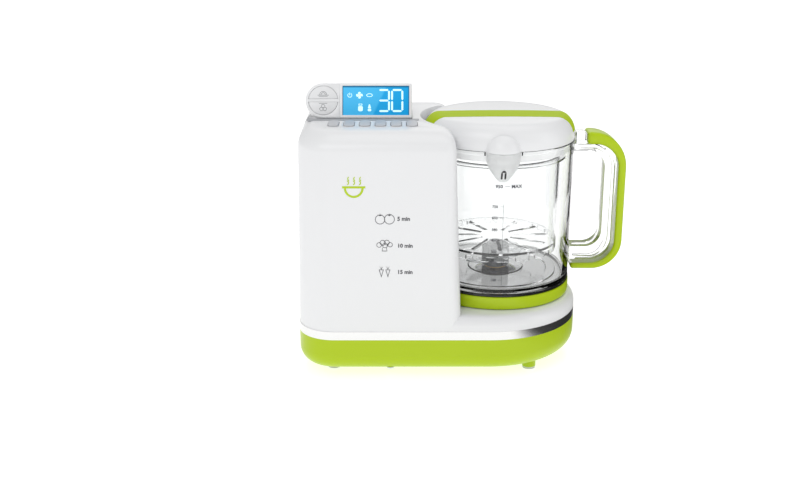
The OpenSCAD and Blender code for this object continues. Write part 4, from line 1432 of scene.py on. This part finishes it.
    def wrapped(self, part):
        """Lays a flat mark against the jug's leaning wall, turned round the jug's axis."""
        corners = [Vector(corner) for corner in part.bound_box]
        x, z = (sum(corner[axis] for corner in corners) / 8 for axis in (0, 2))
        foot, rim = GASKET[1].z, JUG[1].z
        base_r, rim_r = (GASKET[1].x - GASKET[0].x) / 2 - 0.4 * MM, (JUG[1].x - JUG[0].x) / 2 - 0.4 * MM
        radius = base_r + (rim_r - base_r) * (z - foot) / (rim - foot) + 0.08 * MM
        lean = Matrix.Rotation(math.atan((rim_r - base_r) / (rim - foot)), 4, "X")
        turn = Matrix.Translation((JUG_X, 0, 0)) @ Matrix.Rotation((x - JUG_X) / radius, 4, "Z")
        stand = Matrix.Translation((0, -radius, z))
        part.matrix_world = turn @ stand @ lean @ Matrix.Translation((-x, 0, -z))
        alone(part)
        bpy.ops.object.transform_apply(location=True, rotation=True, scale=True)
        return part


# The lid's seal takes the glowing white: painted light, as on the skirt.
CARRIED = {"lid_seal": "rim_white_glow", "pod_pocket": "white_satin"}


class MAKER_OT_carried(Piece, bpy.types.Operator):
    """Finishes for the frame's own parts that stay visible"""

    bl_idname = "maker.carried"
    bl_label = "Frame's own parts"

    def make(self, scene):
        for name, obj in frame["nodes"].items():
            if obj.hide_render:
                continue
            obj.data.materials.clear()
            obj.data.materials.append(finish_named(CARRIED.get(name, SLOTS[name])))


class MAKER_OT_stage(Piece, bpy.types.Operator):
    """Floor, lights and camera"""

    bl_idname = "maker.stage"
    bl_label = "Stage"

    def softbox(self, name, place, aim, size, power, tint=(1, 1, 1)):
        alone()
        bpy.ops.object.light_add(type="AREA", location=place)
        lamp = bpy.context.object
        lamp.name = name
        lamp.data.shape = "RECTANGLE"
        lamp.data.size, lamp.data.size_y = size
        lamp.data.energy = power
        lamp.data.color = tint
        lamp.rotation_euler = (Vector(aim) - Vector(place)).to_track_quat("-Z", "Y").to_euler()

    def make(self, scene):
        alone()
        bpy.ops.mesh.primitive_plane_add(size=FLOOR_SIZE, location=(0, 0, 0))
        floor = bpy.context.object
        floor.name = "floor"
        sheet = Finish(
            "floor_sheet", (0.6, 0.6, 0.6), 0.3, Emission_Color=(1, 1, 1, 1), Emission_Strength=0.72,
        )
        floor.data.materials.append(sheet.material)
        world = bpy.data.worlds.new("studio")
        world.use_nodes = True
        world.node_tree.nodes["Background"].inputs["Color"].default_value = (1, 1, 1, 1)
        world.node_tree.nodes["Background"].inputs["Strength"].default_value = 0.55
        scene.world = world
        self.softbox("key_light", (-0.55, -0.9, 1.1), (0, 0, 0.1), (0.9, 0.7), 4.2)
        self.softbox("top_light", (0.1, 0.15, 1.2), (0, 0, 0.1), (1.0, 0.8), 2.6)
        self.softbox("right_light", (1.0, -0.35, 0.5), (0.05, 0, 0.12), (0.25, 0.8), 1.2)
        self.softbox("back_light", (0.2, 1.1, 0.7), (0, 0, 0.1), (1.2, 0.6), 1.5)
        self.flag("right_flag", (0.36, 0.16, 0.2), (0.05, 0.0, 0.14), (0.4, 0.5))
        self.flag("trim_flag", (0.25, -0.03, 0.001), (0.25, -0.03, 1.0), (0.34, 0.46), False)
        alone()
        bpy.ops.object.camera_add(location=CAMERA_PLACE, rotation=(CAMERA_TILT, 0, 0))
        camera = bpy.context.object
        camera.name = "studio_camera"
        camera.data.lens = CAMERA_LENS
        camera.data.clip_end = 1.5 * FLOOR_SIZE
        scene.camera = camera
        scene.view_settings.view_transform = "Standard"

    def flag(self, name, place, aim, size, through=True):
        """A black card, unseen itself: clear parts bend it, or bright ones mirror it with a soft edge."""
        alone()
        bpy.ops.mesh.primitive_plane_add(size=1, location=place)
        card = bpy.context.object
        card.name = name
        card.scale = (size[0], size[1], 1)
        card.rotation_euler = (Vector(aim) - Vector(place)).to_track_quat("Z", "Y").to_euler()
        bpy.ops.object.transform_apply(location=True, rotation=True, scale=True)
        black = Finish("black_card", (0.01, 0.01, 0.01), 0.8)
        if not through:
            along = black.node("ShaderNodeSeparateXYZ", Vector=black.place())
            shape = {"interpolation_type": "SMOOTHSTEP"}
            edge = black.node("ShaderNodeMapRange", shape, Value=along, i1=0.085, i2=0.15)
            black.feed("Alpha", edge)
        card.data.materials.append(black.material)
        card.visible_camera = False
        card.visible_shadow = False
        card.visible_diffuse = False
        card.visible_transmission = through


class MAKER_PT_panel(bpy.types.Panel):
    """Lists the pieces and their sizes"""

    bl_label = "Baby Food Maker"
    bl_idname = "MAKER_PT_panel"
    bl_space_type = "VIEW_3D"
    bl_region_type = "UI"
    bl_category = "Food Maker"

    def draw(self, context):
        scene = context.scene
        for step in STEPS:
            self.layout.operator(step.bl_idname)
        for group in (scene.maker_housing, scene.maker_jug, scene.maker_colours):
            box = self.layout.box()
            for key in group.__annotations__:
                box.prop(group, key)


GROUPS = {"maker_housing": HousingSizes, "maker_jug": JugSizes, "maker_colours": Colours}
STEPS = (
    MAKER_OT_housing, MAKER_OT_lid, MAKER_OT_jug, MAKER_OT_handle, MAKER_OT_display,
    MAKER_OT_keys, MAKER_OT_key_bed, MAKER_OT_blades, MAKER_OT_prints, MAKER_OT_carried, MAKER_OT_stage,
)


def register():
    for cls in (*GROUPS.values(), *STEPS, MAKER_PT_panel):
        bpy.utils.register_class(cls)
    for name, group in GROUPS.items():
        setattr(bpy.types.Scene, name, bpy.props.PointerProperty(type=group))


def unregister():
    for name in GROUPS:
        delattr(bpy.types.Scene, name)
    for cls in reversed((*GROUPS.values(), *STEPS, MAKER_PT_panel)):
        bpy.utils.unregister_class(cls)


def main():
    """Registers the add-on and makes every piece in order."""
    register()
    for step in STEPS:
        group, name = step.bl_idname.split(".")
        getattr(getattr(bpy.ops, group), name)()


if __name__ == "__main__":
    main()
